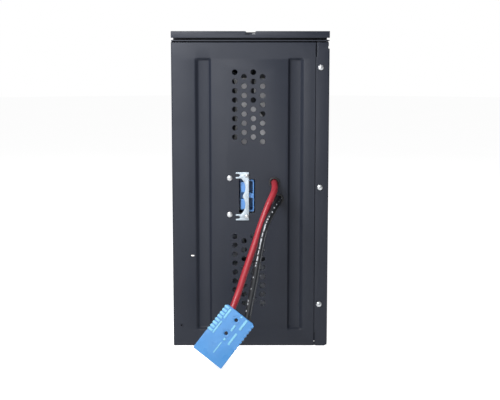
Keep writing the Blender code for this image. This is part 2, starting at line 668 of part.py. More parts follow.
def free_leads():
    """Grommets, the two leads and the plug that they end in."""
    matrix = plug_matrix()
    contacts = ("plug_contact_red", "plug_contact_black")
    connector("plug_housing", contacts, matrix, (PLUG_WIDTH, PLUG_THICKNESS, PLUG_LENGTH), grip=True)
    leads = (("red", RED_OUTLET, RED_ROUTE, RED_ENTRY, RED_JACKET),
             ("black", BLACK_OUTLET, BLACK_ROUTE, BLACK_ENTRY, BLACK_JACKET))
    for name, outlet, route, entry, finish in leads:
        x, z = outlet
        grommet(f"{name}_grommet", x, z)
        points = [Vector((x, REAR, z)), Vector((x, REAR - 10 * MM, z))]
        points += [Vector((px * MM, REAR - out * MM, pz * MM)) for px, out, pz in route]
        points += [matrix @ Vector((across, 0, along)) for across, along in entry]
        tube(f"{name}_lead", smooth_route(points, LEAD_STEP), LEAD_RADIUS, finish)


def battery_mesh():
    """One sealed block with clipped upright corners, centred on its bottom face."""
    source = bmesh.new()
    half = BLOCK / 2
    add_box(source, (-half.x, -half.y, 0), (half.x, half.y, BLOCK.z))
    upright = [edge for edge in source.edges if abs(edge.verts[0].co.z - edge.verts[1].co.z) > half.z]
    bmesh.ops.bevel(source, geom=upright, offset=3 * MM, segments=1, affect="EDGES")
    return source


def add_battery(name, middle, turn=0.0):
    """A battery and its two terminals, with its bottom centred on a point."""
    matrix = Matrix.Translation(middle) @ Matrix.Rotation(turn, 4, "Z")
    block = add_object(name, battery_mesh(), GREY_CASE, matrix)

    def terminals(source):
        half = Vector((5, 4, 0)) * MM
        for sign in (-1, 1):
            foot = Vector((0, sign * (BLOCK.y / 2 - TERMINAL_SETBACK), BLOCK.z))
            sunk, rise = Vector((0, 0, 3 * MM)), Vector((0, 0, TERMINAL_HEIGHT))
            add_box(source, foot - half - sunk, foot + half + rise)

    cut(block, terminals, matrix, "UNION")


def batteries():
    """Two full tiers of six blocks, and an upper tier of three blocks and one crosswise."""
    number = 1
    for bottom in TIER_BOTTOMS:
        for start in ROW_STARTS:
            for column in (-1, 0, 1):
                add_battery(f"battery_{number:02d}", (column * COLUMN_SPACING, start + BLOCK.y / 2, bottom))
                number += 1
    for column in (-1, 0, 1):
        middle = (column * COLUMN_SPACING, UPPER_ROW_START + BLOCK.y / 2, UPPER_TIER_BOTTOM)
        add_battery(f"battery_{number:02d}", middle)
        number += 1
    add_battery(f"battery_{number:02d}", (0, CROSSWISE_BLOCK_Y, UPPER_TIER_BOTTOM), math.pi / 2)


def inner_wiring():
    """Fuse and the cables between the outlets, the socket and the tiers."""
    holder_top = UPPER_TIER_BOTTOM - SHEET - 2 * GAP
    holder_bottom = holder_top - FUSE_HOLDER_HEIGHT
    box("fuse_holder", (*FUSE_HOLDER_LOW, holder_bottom), (*FUSE_HOLDER_HIGH, holder_top), BLACK_PLASTIC,
        2 * MM)
    source = bmesh.new()
    fuse_x, fuse_y = ((low + high) / 2 for low, high in zip(FUSE_HOLDER_LOW, FUSE_HOLDER_HIGH))
    add_rod(source, (fuse_x, fuse_y, holder_bottom - FUSE_RADIUS - GAP), "Y", FUSE_RADIUS, FUSE_LENGTH, 16)
    add_object("fuse_link", source, GREY_CASE, smooth=True)
    red_x, red_z = RED_OUTLET
    black_x, black_z = BLACK_OUTLET
    inside = REAR + GAP
    terminal_rear = ROW_STARTS[0] - 2 * MM
    low_terminal = TIER_BOTTOMS[0] + BLOCK.z + 3 * MM
    mid_terminal = TIER_BOTTOMS[1] + BLOCK.z + 3 * MM
    top_terminal = UPPER_TIER_BOTTOM + BLOCK.z + TERMINAL_HEIGHT + 2 * MM
    socket_back = REAR + SOCKET_RECESS + SOCKET_LENGTH + GAP
    pole = POLE_SPACING / 2
    edge = BLOCK.y / 2 - TERMINAL_SETBACK
    holder_rear = FUSE_HOLDER_LOW[1] - 1 * MM
    holder_left = FUSE_HOLDER_LOW[0] - 1 * MM
    fuse_cable_z = 268 * MM
    # Name: finish, radius, start, the points between in millimetres, and end.
    routes = {
        "inner_red_cable": (RED_JACKET, LEAD_RADIUS, (red_x, inside, red_z),
                            [(34, -185, 237.5), (42, -155, 250), (55, -128, 268)],
                            (56 * MM, holder_rear, fuse_cable_z)),
        "inner_black_cable": (BLACK_JACKET, LEAD_RADIUS, (black_x, inside, black_z),
                              [(39.5, -185, 212.6), (44, -155, 196), (56, -138, 150), (64, -134, 120)],
                              (COLUMN_SPACING, terminal_rear, low_terminal)),
        "socket_red_cable": (RED_JACKET, CABLE_RADIUS, (SOCKET_X, socket_back, SOCKET_Z + pole),
                             [(-4, -112, 232), (12, -88, 254), (30, -80, 268)],
                             (holder_left, -80 * MM, fuse_cable_z)),
        "socket_black_cable": (BLACK_JACKET, CABLE_RADIUS, (SOCKET_X, socket_back, SOCKET_Z - pole),
                               [(-6, -127, 199), (-7, -126, 176), (-4, -128, 130)],
                               (0, terminal_rear, low_terminal)),
        "tier_cable_lower": (BLACK_JACKET, CABLE_RADIUS, (-COLUMN_SPACING, terminal_rear, low_terminal),
                             [(-68, -132, 105), (-68, -146, 125), (-68, -148, 188), (-68, -132, 208)],
                             (-COLUMN_SPACING, terminal_rear, mid_terminal)),
        "tier_cable_upper": (BLACK_JACKET, CABLE_RADIUS, (-COLUMN_SPACING, -110 * MM, mid_terminal + 5 * MM),
                             [(-68, -110.5, 225), (-62, -130, 244), (-44, -168, 260), (-28, -191, 288),
                              (-25, -196, 330), (-26, -194, 375), (-40, -178, 400), (-62, -150, 410)],
                             (-edge, CROSSWISE_BLOCK_Y, top_terminal)),
        "fuse_cable": (BLACK_JACKET, CABLE_RADIUS, (72 * MM, holder_rear, fuse_cable_z),
                       [(71, -140, 266), (62, -172, 268), (47, -189, 286), (19, -195, 334), (5, -195, 350),
                        (2, -192, 380), (20, -178, 402), (60, -150, 410)],
                       (edge, CROSSWISE_BLOCK_Y, top_terminal)),
    }
    for name, (finish, radius, start, middle, end) in routes.items():
        points = [Vector(start), *(Vector(point) * MM for point in middle), Vector(end)]
        tube(name, smooth_route(points, 2.5 * 2 * radius), radius, finish)


def main():
    clear_scene()
    rear_and_left_shell()
    side_cover()
    for place, z in COVER_SCREW_HEIGHTS.items():
        pan_screw(f"side_cover_screw_{place}", COVER_SCREW_X, z, REAR)
    base_tray()
    top_panel()
    top_cover()
    chassis()
    front_bezel()
    feet()
    bracket()
    socket()
    free_leads()
    batteries()
    inner_wiring()


main()
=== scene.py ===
"""Looks of the battery pack: detailed covers, connector, screws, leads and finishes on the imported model.

Lengths are in metres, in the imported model's own frame: the face with the socket looks along -Y and +Z is up.
"""
import math
import random

import bmesh
import bpy
from mathutils import Matrix, Vector


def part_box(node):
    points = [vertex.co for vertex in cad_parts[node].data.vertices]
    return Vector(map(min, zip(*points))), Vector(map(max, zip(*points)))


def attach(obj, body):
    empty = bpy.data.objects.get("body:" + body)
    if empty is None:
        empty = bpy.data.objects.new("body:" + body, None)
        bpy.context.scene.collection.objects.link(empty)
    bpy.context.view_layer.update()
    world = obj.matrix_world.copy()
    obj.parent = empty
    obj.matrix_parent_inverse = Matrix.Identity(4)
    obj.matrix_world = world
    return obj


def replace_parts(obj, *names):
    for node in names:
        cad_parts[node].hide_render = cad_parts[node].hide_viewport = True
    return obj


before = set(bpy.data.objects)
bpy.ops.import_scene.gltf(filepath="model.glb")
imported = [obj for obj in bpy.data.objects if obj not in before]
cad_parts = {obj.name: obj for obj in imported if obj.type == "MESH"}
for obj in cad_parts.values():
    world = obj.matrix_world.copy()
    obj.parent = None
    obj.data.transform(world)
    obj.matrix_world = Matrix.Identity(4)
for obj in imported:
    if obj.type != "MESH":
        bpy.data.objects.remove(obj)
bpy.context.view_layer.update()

MM = 0.001
GAP = 0.3 * MM
SHEET = 1.2 * MM
BEND = 2 * MM
THROUGH = 8 * MM
PAST = 10 * MM

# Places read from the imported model
SHELL_LOW, SHELL_HIGH = map(Vector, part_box("rear_and_left_shell"))
COVER_LOW, COVER_HIGH = map(Vector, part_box("side_cover"))
LID_LOW, LID_HIGH = map(Vector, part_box("top_cover"))
ROOF_LOW, ROOF_HIGH = map(Vector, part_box("top_panel"))
BEZEL_LOW, BEZEL_HIGH = map(Vector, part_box("front_bezel"))
SOCKET_LOW, SOCKET_HIGH = map(Vector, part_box("socket_housing"))
BRACKET_LOW, BRACKET_HIGH = map(Vector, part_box("plug_retaining_bracket"))
REAR = SHELL_LOW.y
CHASSIS_FRONT = SHELL_HIGH.y
SIDE_ROWS = (-0.1, 0.0, 0.1)

# Lid
LID_LIP = 2 * MM
NOTCH = (-6.9 * MM, 7.3 * MM)

# Side cover
SEAM_X = 91 * MM
JOGGLE = SHEET + GAP
COVER_SKIN_TOP = 423.8 * MM
FLANGE_SLIT = 2 * MM
FLANGE_SLIT_HEIGHT = 20 * MM
COVER_CHAMFER = 4 * MM

# Pressed channels, vents and small features of the rear panel
CHANNEL_BOTTOM = 23 * MM
CHANNEL_TOP = 412 * MM
CHANNEL_DEPTH = 5 * MM
CHANNEL_OUTER_RUN = 6.5 * MM
CHANNEL_INNER_RUN = 4.2 * MM
CHANNEL_END_RUN = 5 * MM
LEFT_CHANNEL = (-78 * MM, -54 * MM)
RIGHT_CHANNEL = (52 * MM, 75.5 * MM)
VENT_RADIUS = 3.7 * MM
VENT_COLUMNS = 4
VENT_ROWS = 8
VENT_PITCH = 12.9 * MM
VENT_FIRST_X = -21.5 * MM
VENT_TOP_HEIGHTS = (391.5 * MM, 159.8 * MM)
EARTH_HOLE = (-98.3 * MM, 30.7 * MM)
EARTH_HOLE_RADIUS = 1.7 * MM
INSPECTION_MARK = (-81.7 * MM, 132.2 * MM)
INSPECTION_MARK_HALF = (2.1 * MM, 0.8 * MM)
PANEL_EDGE_ROLL = 2 * MM
PANEL_TOP_ROLL = 1 * MM
ROLL_DEPTH = 0.6

# Socket opening, bracket and screws
SOCKET_X = -4.7 * MM
SOCKET_Z = 217.6 * MM
OPENING_WIDTH = 22.6 * MM
OPENING_HEIGHT = 48.5 * MM
EAR_HEIGHT = 8.8 * MM
EAR_SLOT_RADIUS = 2.1 * MM
EAR_SLOT_DEPTH = 6 * MM
STRIP_LEFT = -13 * MM
SCALLOP_RADIUS = 18.2 * MM
SCALLOP_X = -25.2 * MM
SCALLOP_SPACING = 24 * MM
BRACKET_CORNER = 1.2 * MM
BRACKET_TIP_X = -10.75 * MM
SCREW_HOLE_RADIUS = 2.5 * MM
SCREW_SHANK_RADIUS = 2 * MM
SCREW_HEAD_HEIGHT = 2.3 * MM
SCREW_CROWN = math.radians(78)
PANEL_SCREWS = ["bracket_screw_upper", "bracket_screw_lower", "socket_screw_upper", "socket_screw_lower"]
COVER_SCREWS = ["side_cover_screw_upper", "side_cover_screw_middle", "side_cover_screw_lower"]

# Connector
PLUG_LENGTH = 73 * MM
PLUG_WIDTH = 47.5 * MM
PLUG_THICKNESS = 21.5 * MM
SOCKET_LENGTH = 70 * MM
POLE_SPACING = 24 * MM
CAVITY_DEPTH = 28 * MM
CAVITY_WIDTH = 18 * MM
CAVITY_THICKNESS = 7.5 * MM
GRIP_RIBS = 8
GRIP_LENGTH = 43 * MM
GRIP_HEIGHT = 0.8 * MM
FACE_RISE = 0.6 * MM
RIVET_HOLE_RADIUS = 2.4 * MM
RIVET_HOLES = (9.9 * MM, 31.7 * MM)
HOLE_RING = (5.1 * MM, 5.9 * MM)
CAVITY_OFFSET = 0.5 * MM
# Raised bars on the plug's broad faces: (middle x, start and end below the wire end, width)
PLUG_BARS = [(-14.45 * MM, 2.5 * MM, 17.5 * MM, 2.8 * MM), (-14.45 * MM, 22.5 * MM, 42 * MM, 2.2 * MM),
             (11.55 * MM, 1.5 * MM, 17.8 * MM, 3.2 * MM), (11.45 * MM, 23.8 * MM, 42.2 * MM, 2.8 * MM),
             (3.35 * MM, 1.3 * MM, 3.9 * MM, 2.4 * MM), (3.35 * MM, 16.1 * MM, 25.6 * MM, 2.6 * MM),
             (3.05 * MM, 37.8 * MM, 41 * MM, 2.6 * MM)]
ENTRY_RADIUS = 7 * MM
ENTRY_DEPTH = 8 * MM

# Free leads
LEAD_RADIUS = 4.5 * MM
GROMMET_RADIUS = 7.9 * MM
GROMMET_HOLE_RADIUS = 7 * MM
RED_OUTLET = (33.8 * MM, 237 * MM)
BLACK_OUTLET = (39.3 * MM, 213.5 * MM)
# Each point is (x, distance in front of the rear face, z), in millimetres.
RED_ROUTE = [(34.0, 22, 235.8), (33.2, 34, 230.8), (30.1, 42.8, 224.1), (25.0, 49.8, 214.1),
             (18.6, 56.7, 198.6), (12.0, 63, 180.4), (5.0, 69.5, 159.5), (-2.5, 76, 138.7),
             (-9.8, 82, 117.8), (-15.9, 87, 99.6)]
BLACK_ROUTE = [(38.9, 23, 213.3), (37.0, 37, 212.6), (33.7, 50.1, 209.8), (28.9, 60.6, 203.3),
               (23.2, 68.5, 193.7), (17.9, 74, 178.2), (13.2, 79, 157.2), (9.4, 84, 136.2),
               (5.6, 89, 115.3), (1.3, 93.5, 94.3)]
# Where each lead crosses the plug's wire end and where it stops inside, as (x, z) in the plug's own frame.
RED_ENTRY = [(-14.0 * MM, 0.5 * MM), (-12.0 * MM, -5.7 * MM)]
BLACK_ENTRY = [(10.2 * MM, 0.5 * MM), (12.0 * MM, -5.7 * MM)]
PLUG_TURN = math.radians(37.8)
PLUG_LEAN = math.radians(-16)
PLUG_X = -12.6 * MM
PLUG_DISTANCE = 99.4 * MM
OPEN_SIDE = Vector((0.0, -0.98, 0.17)).normalized()

# Bezel
BEZEL_WALL = 3 * MM
BEZEL_CORNER = 6 * MM
BEZEL_ROUND = 5 * MM
GROOVE_LOW = (-92 * MM, 28 * MM)
GROOVE_HIGH = (92 * MM, 424 * MM)
GROOVE_CORNER = 8 * MM
GROOVE_WIDTH = 1.2 * MM
GROOVE_DEPTH = 0.9 * MM
LOUVRES = 18
LOUVRE_FOOT = 42 * MM
LOUVRE_PITCH = 7 * MM
LOUVRE_HEIGHT = 3.4 * MM
LOUVRE_HALF = 78 * MM
LOUVRE_DEPTH = 2.6 * MM
BADGE_LOW = (-60 * MM, 360 * MM)
BADGE_HIGH = (60 * MM, 392 * MM)
BADGE_DEPTH = 1.5 * MM

# Camera: how far it stands back from the rear face, and how it looks down on it
CAMERA_X = -0.4 * MM
CAMERA_DISTANCE = 1523.5 * MM
CAMERA_DOWN = math.radians(8)
CAMERA_LENS = 78.7
CAMERA_SHIFT = -0.0306
SENSOR_WIDTH = 36

# Studio: each light is (name, x, distance behind the rear face or minus in front, height, width, watts)
LIGHTS = [("key", -0.34, -0.45, 0.70, 0.4, 9.0), ("front", -0.5, -2.0, 1.2, 1.2, 0.6),
          ("glow", -0.14, -0.6, 0.37, 0.45, 2.7), ("overhead", 0.0, -0.2, 1.6, 1.2, 4.0),
          ("back", 0.2, 1.2 - REAR, 1.4, 1.2, 6.0)]
LIGHT_TARGET_HEIGHT = 0.24
SURROUND_LIGHT = 0.08
FLOOR_RADIUS = 6.0
FLOOR_GLOW = 0.92


# ---------------------------------------------------------------- mesh tools

def add_box(source, low, high):
    """Add a box from its lowest to its highest corner, and return its points."""
    low, high = Vector(low), Vector(high)
    place = Matrix.Translation((low + high) / 2) @ Matrix.Diagonal((*(high - low), 1.0))
    return bmesh.ops.create_cube(source, size=1.0, matrix=place)["verts"]


def add_turned(source, profile, centre, axis="Y", steps=32, closed=False):
    """Add a solid turned about the Y or Z axis, from (radius, distance along the axis) points."""
    rings = []
    for radius, along in profile:
        ring = []
        for i in range(steps if radius > 0 else 1):
            angle = 2 * math.pi * i / steps
            u, v = radius * math.cos(angle), radius * math.sin(angle)
            spot = Vector((u, along, v) if axis == "Y" else (u, v, along))
            ring.append(source.verts.new(Vector(centre) + spot))
        rings.append(ring)
    pairs = list(zip(rings, rings[1:]))
    if closed:
        pairs.append((rings[-1], rings[0]))
    for first, second in pairs:
        for i in range(steps):
            j = (i + 1) % steps
            corners = [first[i % len(first)], first[j % len(first)], second[j % len(second)],
                       second[i % len(second)]]
            source.faces.new(list(dict.fromkeys(corners)))


def add_loft(source, outlines):
    """Add the closed solid that runs through outlines with the same number of points."""
    rings = [[source.verts.new(point) for point in outline] for outline in outlines]
    for first, second in zip(rings, rings[1:]):
        for i in range(len(first)):
            j = (i + 1) % len(first)
            source.faces.new((first[i], first[j], second[j], second[i]))
    source.faces.new(rings[0])
    source.faces.new(rings[-1])


def add_prism(source, outline, low, high, axis="Y"):
    """Add an outline of (x, z) points extruded along Y, or one of (x, y) points extruded along Z."""
    add_loft(source, [[(u, along, v) if axis == "Y" else (u, v, along) for u, v in outline]
                      for along in (low, high)])


def box(low, high):
    """A new solid that is one box."""
    source = bmesh.new()
    add_box(source, low, high)
    return source


def arc(centre, radius, start, sweep, steps):
    """Points along an arc; its angles are in degrees."""
    angles = [math.radians(start + sweep * i / steps) for i in range(steps + 1)]
    return [(centre[0] + radius * math.cos(angle), centre[1] + radius * math.sin(angle)) for angle in angles]


def rounded_outline(low, high, radius, steps=6):
    """Outline of a rectangle with round corners, as (x, z) points."""
    (left, bottom), (right, top) = (low[0] + radius, low[1] + radius), (high[0] - radius, high[1] - radius)
    outline = []
    corners = ((right, top), (left, top), (left, bottom), (right, bottom))
    for corner, start in zip(corners, (0, 90, 180, 270)):
        outline += arc(corner, radius, start, 90, steps)
    return outline


def turned(profile, centre, steps):
    """A new solid that is one closed ring turned about Y."""
    source = bmesh.new()
    add_turned(source, profile, centre, "Y", steps, closed=True)
    return source


def prism(outline, low, high, axis="Y"):
    """A new solid that is one prism."""
    source = bmesh.new()
    add_prism(source, outline, low, high, axis)
    return source


def make_piece(name, source, material=None):
    """Turn a bmesh into an object whose faces point outwards."""
    bmesh.ops.recalc_face_normals(source, faces=source.faces)
    mesh = bpy.data.meshes.new(name)
    source.to_mesh(mesh)
    source.free()
    piece = bpy.data.objects.new(name, mesh)
    bpy.context.collection.objects.link(piece)
    if material is not None:
        mesh.materials.append(material)
    return piece


def settle(piece):
    """Apply a piece's modifiers to its mesh."""
    graph = bpy.context.evaluated_depsgraph_get()
    mesh = bpy.data.meshes.new_from_object(piece.evaluated_get(graph))
    piece.modifiers.clear()
    old = piece.data
    piece.data = mesh
    bpy.data.meshes.remove(old)


def carve(piece, source, operation="DIFFERENCE", material=None):
    """Cut a bmesh's solids out of a piece, or join them to it, with a material of their own if given."""
    tool = make_piece(piece.name + "_tool", source, material)
    tool.matrix_world = piece.matrix_world
    modifier = piece.modifiers.new("carve", "BOOLEAN")
    modifier.operation = operation
    modifier.object = tool
    if material is not None:
        modifier.material_mode = "TRANSFER"
    bpy.context.view_layer.update()
    settle(piece)
    bpy.data.objects.remove(tool, do_unlink=True)


def soften(piece, width, segments=2, angle=40):
    """Round a piece's edges."""
    modifier = piece.modifiers.new("soften", "BEVEL")
    modifier.width = width
    modifier.segments = segments
    modifier.limit_method = "ANGLE"
    modifier.angle_limit = math.radians(angle)
    settle(piece)


def fit(piece, body, *nodes, slot=None, angle=35):
    """Finish a piece: its shading, with edges past an angle sharp, its body and nodes; the slot argument is
    not used.
    """
    piece.data.shade_smooth()
    piece.data.set_sharp_from_angle(angle=math.radians(angle))
    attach(piece, body)
    if nodes:
        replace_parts(piece, *nodes)
    return piece


# ---------------------------------------------------------------- materials

def new_material(name):
    """A new material, with its node tree and its shader."""
    material = bpy.data.materials.new(name)
    material.use_nodes = True
    return material, material.node_tree, material.node_tree.nodes["Principled BSDF"]


def noise(tree, scale, detail=3.0, roughness=0.55, stretch=(1.0, 1.0, 1.0)):
    """Noise in the object's own coordinates; scale is in features for each metre."""
    where = tree.nodes.new("ShaderNodeTexCoord")
    mapping = tree.nodes.new("ShaderNodeMapping")
    mapping.inputs["Scale"].default_value = stretch
    texture = tree.nodes.new("ShaderNodeTexNoise")
    texture.inputs["Scale"].default_value = scale
    texture.inputs["Detail"].default_value = detail
    texture.inputs["Roughness"].default_value = roughness
    tree.links.new(where.outputs["Object"], mapping.inputs["Vector"])
    tree.links.new(mapping.outputs["Vector"], texture.inputs["Vector"])
    return texture.outputs["Fac"]


def ramp(tree, factor, low, high, start=0.3, end=0.7):
    """Two colours blended over a range of a factor."""
    node = tree.nodes.new("ShaderNodeValToRGB")
    node.color_ramp.elements[0].position = start
    node.color_ramp.elements[1].position = end
    node.color_ramp.elements[0].color = (*low, 1.0)
    node.color_ramp.elements[1].color = (*high, 1.0)
    tree.links.new(factor, node.inputs["Fac"])
    return node.outputs["Color"]


def remap(tree, factor, low, high, start=0.3, end=0.7):
    """A factor's range turned into another range of values."""
    node = tree.nodes.new("ShaderNodeMapRange")
    for name, value in (("From Min", start), ("From Max", end), ("To Min", low), ("To Max", high)):
        node.inputs[name].default_value = value
    tree.links.new(factor, node.inputs["Value"])
    return node.outputs["Result"]


def bump(tree, shader, heights):
    """Bumps on a shader from (height output, distance in metres, strength) layers."""
    before = None
    for height, distance, strength in heights:
        node = tree.nodes.new("ShaderNodeBump")
        node.inputs["Distance"].default_value = distance
        node.inputs["Strength"].default_value = strength
        tree.links.new(height, node.inputs["Height"])
        if before is not None:
            tree.links.new(before, node.inputs["Normal"])
        before = node.outputs["Normal"]
    tree.links.new(before, shader.inputs["Normal"])


def blend(tree, factor, first, second):
    """A colour output mixed with a plain colour by a factor."""
    mix = tree.nodes.new("ShaderNodeMix")
    mix.data_type = "RGBA"
    colours = [socket for socket in mix.inputs if socket.type == "RGBA"]
    tree.links.new(factor, mix.inputs["Factor"])
    tree.links.new(first, colours[0])
    colours[1].default_value = (*second, 1.0)
    return next(socket for socket in mix.outputs if socket.type == "RGBA")


def tinted(colour, factor):
    """A colour made lighter or darker by a factor."""
    return tuple(min(1.0, part * factor) for part in colour)


def powder_coat(name, colour):
    """Dark powder coat: fine orange peel, faint mottling and scattered dust."""
    material, tree, shader = new_material(name)
    mottle = ramp(tree, noise(tree, scale=9, detail=4), tinted(colour, 0.93), tinted(colour, 1.08))
    dust = remap(tree, noise(tree, scale=1500, detail=2), 0.0, 0.35, start=0.66, end=0.8)
    tree.links.new(blend(tree, dust, mottle, tinted(colour, 2.2)), shader.inputs["Base Color"])
    tree.links.new(remap(tree, noise(tree, scale=30), 0.40, 0.51), shader.inputs["Roughness"])
    shader.inputs["Specular IOR Level"].default_value = 0.2
    orange_peel = noise(tree, scale=700, detail=2)
    waves = noise(tree, scale=90, detail=2)
    bump(tree, shader, [(orange_peel, 0.12 * MM, 0.35), (waves, 0.2 * MM, 0.12)])
    return material


def plated(name, colour, roughness=0.3):
    """Zinc or tin plating with a faint spangle and fine scratches."""
    material, tree, shader = new_material(name)
    spangle = tree.nodes.new("ShaderNodeTexVoronoi")
    spangle.inputs["Scale"].default_value = 260
    where = tree.nodes.new("ShaderNodeTexCoord")
    tree.links.new(where.outputs["Object"], spangle.inputs["Vector"])
    grey = tree.nodes.new("ShaderNodeRGBToBW")
    tree.links.new(spangle.outputs["Color"], grey.inputs["Color"])
    crystals = ramp(tree, grey.outputs["Val"], tinted(colour, 0.88), tinted(colour, 1.08), start=0.0, end=1.0)
    tree.links.new(crystals, shader.inputs["Base Color"])
    shader.inputs["Metallic"].default_value = 0.85
    scratches = noise(tree, scale=180, roughness=0.6, stretch=(1.0, 1.0, 14.0))
    tree.links.new(remap(tree, scratches, roughness - 0.08, roughness + 0.14), shader.inputs["Roughness"])
    bump(tree, shader, [(scratches, 0.05 * MM, 0.3), (noise(tree, scale=400, detail=2), 0.05 * MM, 0.3)])
    return material


def moulded(name, colour, roughness, grain=900, wear=1.25):
    """Moulded plastic or rubber: fine grain, flow marks, and paler rubbed patches."""
    material, tree, shader = new_material(name)
    flow_marks = noise(tree, scale=45, detail=4, roughness=0.6)
    flow = ramp(tree, flow_marks, tinted(colour, 0.92), tinted(colour, 1.06))
    patches = noise(tree, scale=160, detail=5, roughness=0.7)
    rubbed = remap(tree, patches, 0.0, 0.5, start=0.58, end=0.78)
    tree.links.new(blend(tree, rubbed, flow, tinted(colour, wear)), shader.inputs["Base Color"])
    tree.links.new(remap(tree, noise(tree, scale=70), roughness - 0.06, roughness + 0.08),
                   shader.inputs["Roughness"])
    shader.inputs["Specular IOR Level"].default_value = 0.25
    bump(tree, shader, [(noise(tree, scale=grain, detail=2), 0.06 * MM, 0.35)])
    return material


PAINT = powder_coat("paint", (0.0106, 0.0129, 0.0198))
INNER_PAINT = powder_coat("inner_paint", (0.006, 0.007, 0.011))
ZINC = plated("zinc", (0.30, 0.345, 0.385), 0.50)
SCREW_ZINC = plated("screw_zinc", (0.46, 0.475, 0.49), 0.42)
# Contacts deep inside the connector cavities, coloured dark: painted shade of the cavities, tinted blue like
# the nylon around them.
SHADED_TIN = plated("tin", (0.07, 0.08, 0.12), 0.40)
BLUE = moulded("blue_nylon", (0.046, 0.158, 0.350), 0.30)
# Paler blue for the plug's raised ribs and bars: painted highlight on their lit faces, with some rubbed wear.
HIGHLIGHT_AND_WEAR_BLUE = moulded("highlight_and_wear_blue_nylon", (0.125, 0.310, 0.430), 0.26)
SOCKET_BLUE = moulded("socket_nylon", (0.075, 0.19, 0.43), 0.34)
RED = moulded("red_jacket", (0.21, 0.016, 0.024), 0.36, 500, 1.15)
BLACK = moulded("black_jacket", (0.006, 0.007, 0.009), 0.46, 500, 1.6)
# Pale line on the black lead: painted highlight along its lit edge, laid on a raised moulding seam.
SEAM_HIGHLIGHT = moulded("seam_painted_highlight", (0.13, 0.14, 0.16), 0.4, 700, 1.2)
INK = moulded("print_ink", (0.27, 0.28, 0.30), 0.5, 900, 1.2)
RUBBER = moulded("rubber", (0.014, 0.014, 0.015), 0.5, 700, 1.8)
BEZEL = moulded("bezel_plastic", (0.022, 0.023, 0.026), 0.48, 1300, 1.35)
CASE = moulded("battery_case", (0.52, 0.525, 0.55), 0.5, 600, 1.08)
# The lower batteries stand in deeper shade, so their cases are paler.
LOWER_CASE = moulded("lower_battery_case", (0.52, 0.55, 0.62), 0.5, 600, 1.08)
FUSE = moulded("fuse_ceramic", (0.62, 0.60, 0.55), 0.55, 600, 1.06)
# Pale strip in the lid's notch: partly bare worn metal, partly painted highlight on the side that faces the
# light.
BARE_AND_HIGHLIGHT = moulded("bare_edge_and_highlight", (0.17, 0.175, 0.18), 0.4, 900, 1.3)
# Paler paint for the flange edge beside the upper slit: painted highlight.
EDGE_HIGHLIGHT_PAINT = moulded("painted_edge_highlight", (0.045, 0.05, 0.06), 0.4, 900, 1.3)
MARK = moulded("inspection_mark", (0.72, 0.70, 0.68), 0.5, 900, 1.05)


# ---------------------------------------------------------------- camera, floor and light

def camera():
    """The viewing angle: straight at the rear face, from above it and looking a little down."""
    scene = bpy.context.scene
    scene.view_settings.view_transform = "Standard"
    data = bpy.data.cameras.new("camera")
    data.sensor_width = SENSOR_WIDTH
    data.lens = CAMERA_LENS
    data.shift_y = CAMERA_SHIFT
    view = bpy.data.objects.new("camera", data)
    scene.collection.objects.link(view)
    view.location = (CAMERA_X, REAR - CAMERA_DISTANCE, LID_HIGH.z)
    view.rotation_euler = (math.radians(90) - CAMERA_DOWN, 0, 0)
    scene.camera = view


def pale_floor():
    """A wide pale floor that glows enough to fade into the surround."""
    source = bmesh.new()
    bmesh.ops.create_circle(source, cap_ends=True, segments=96, radius=FLOOR_RADIUS)
    floor = make_piece("floor", source)
    material, tree, shader = new_material("floor")
    cloudy = ramp(tree, noise(tree, scale=3, detail=2), (0.58, 0.58, 0.58), (0.62, 0.62, 0.62))
    tree.links.new(cloudy, shader.inputs["Base Color"])
    shader.inputs["Roughness"].default_value = 0.7
    shader.inputs["Emission Color"].default_value = (1.0, 1.0, 1.0, 1.0)
    shader.inputs["Emission Strength"].default_value = FLOOR_GLOW
    floor.data.materials.append(material)


def surround():
    """A white surround that lights the object only faintly, so that the dark paint keeps its depth."""
    world = bpy.data.worlds.new("studio")
    bpy.context.scene.world = world
    world.use_nodes = True
    tree = world.node_tree
    background = tree.nodes["Background"]
    background.inputs["Color"].default_value = (1.0, 1.0, 1.0, 1.0)
    rays = tree.nodes.new("ShaderNodeLightPath")
    strength = remap(tree, rays.outputs["Is Camera Ray"], SURROUND_LIGHT, 1.0, start=0.0, end=1.0)
    tree.links.new(strength, background.inputs["Strength"])


def lights():
    """Soft round studio lights, all turned to the middle of the rear face."""
    target = Vector((0, REAR, LIGHT_TARGET_HEIGHT))
    for name, x, behind, height, width, power in LIGHTS:
        data = bpy.data.lights.new(name, "AREA")
        data.shape = "DISK"
        data.size = width
        data.energy = power
        light = bpy.data.objects.new(name, data)
        bpy.context.scene.collection.objects.link(light)
        light.visible_camera = False
        light.location = (x, REAR + behind, height)
        light.rotation_euler = (target - light.location).to_track_quat("-Z", "Y").to_euler()


# ---------------------------------------------------------------- leads and plug

def smooth_route(points, step):
    """Points about one step apart along a smooth curve through the given points (Catmull-Rom)."""
    ends = [2 * points[0] - points[1], *points, 2 * points[-1] - points[-2]]
    path = [points[0]]
    for before, start, end, after in zip(ends, ends[1:], ends[2:], ends[3:]):
        count = max(1, round((end - start).length / step))
        for k in range(1, count + 1):
            t = k / count
            second = 2 * before - 5 * start + 4 * end - after
            third = 3 * start - before - 3 * end + after
            path.append(0.5 * (2 * start + (end - before) * t + second * t**2 + third * t**3))
    return path


def plug_matrix():
    """The plug leans on one corner; its height is what brings that corner just above the surface."""
    turn = Matrix.Rotation(PLUG_LEAN, 4, "X") @ Matrix.Rotation(PLUG_TURN, 4, "Y")
    lowest = turn @ Vector((PLUG_WIDTH / 2, PLUG_THICKNESS / 2, -PLUG_LENGTH))
    return Matrix.Translation((PLUG_X, REAR - PLUG_DISTANCE, GAP - lowest.z)) @ turn


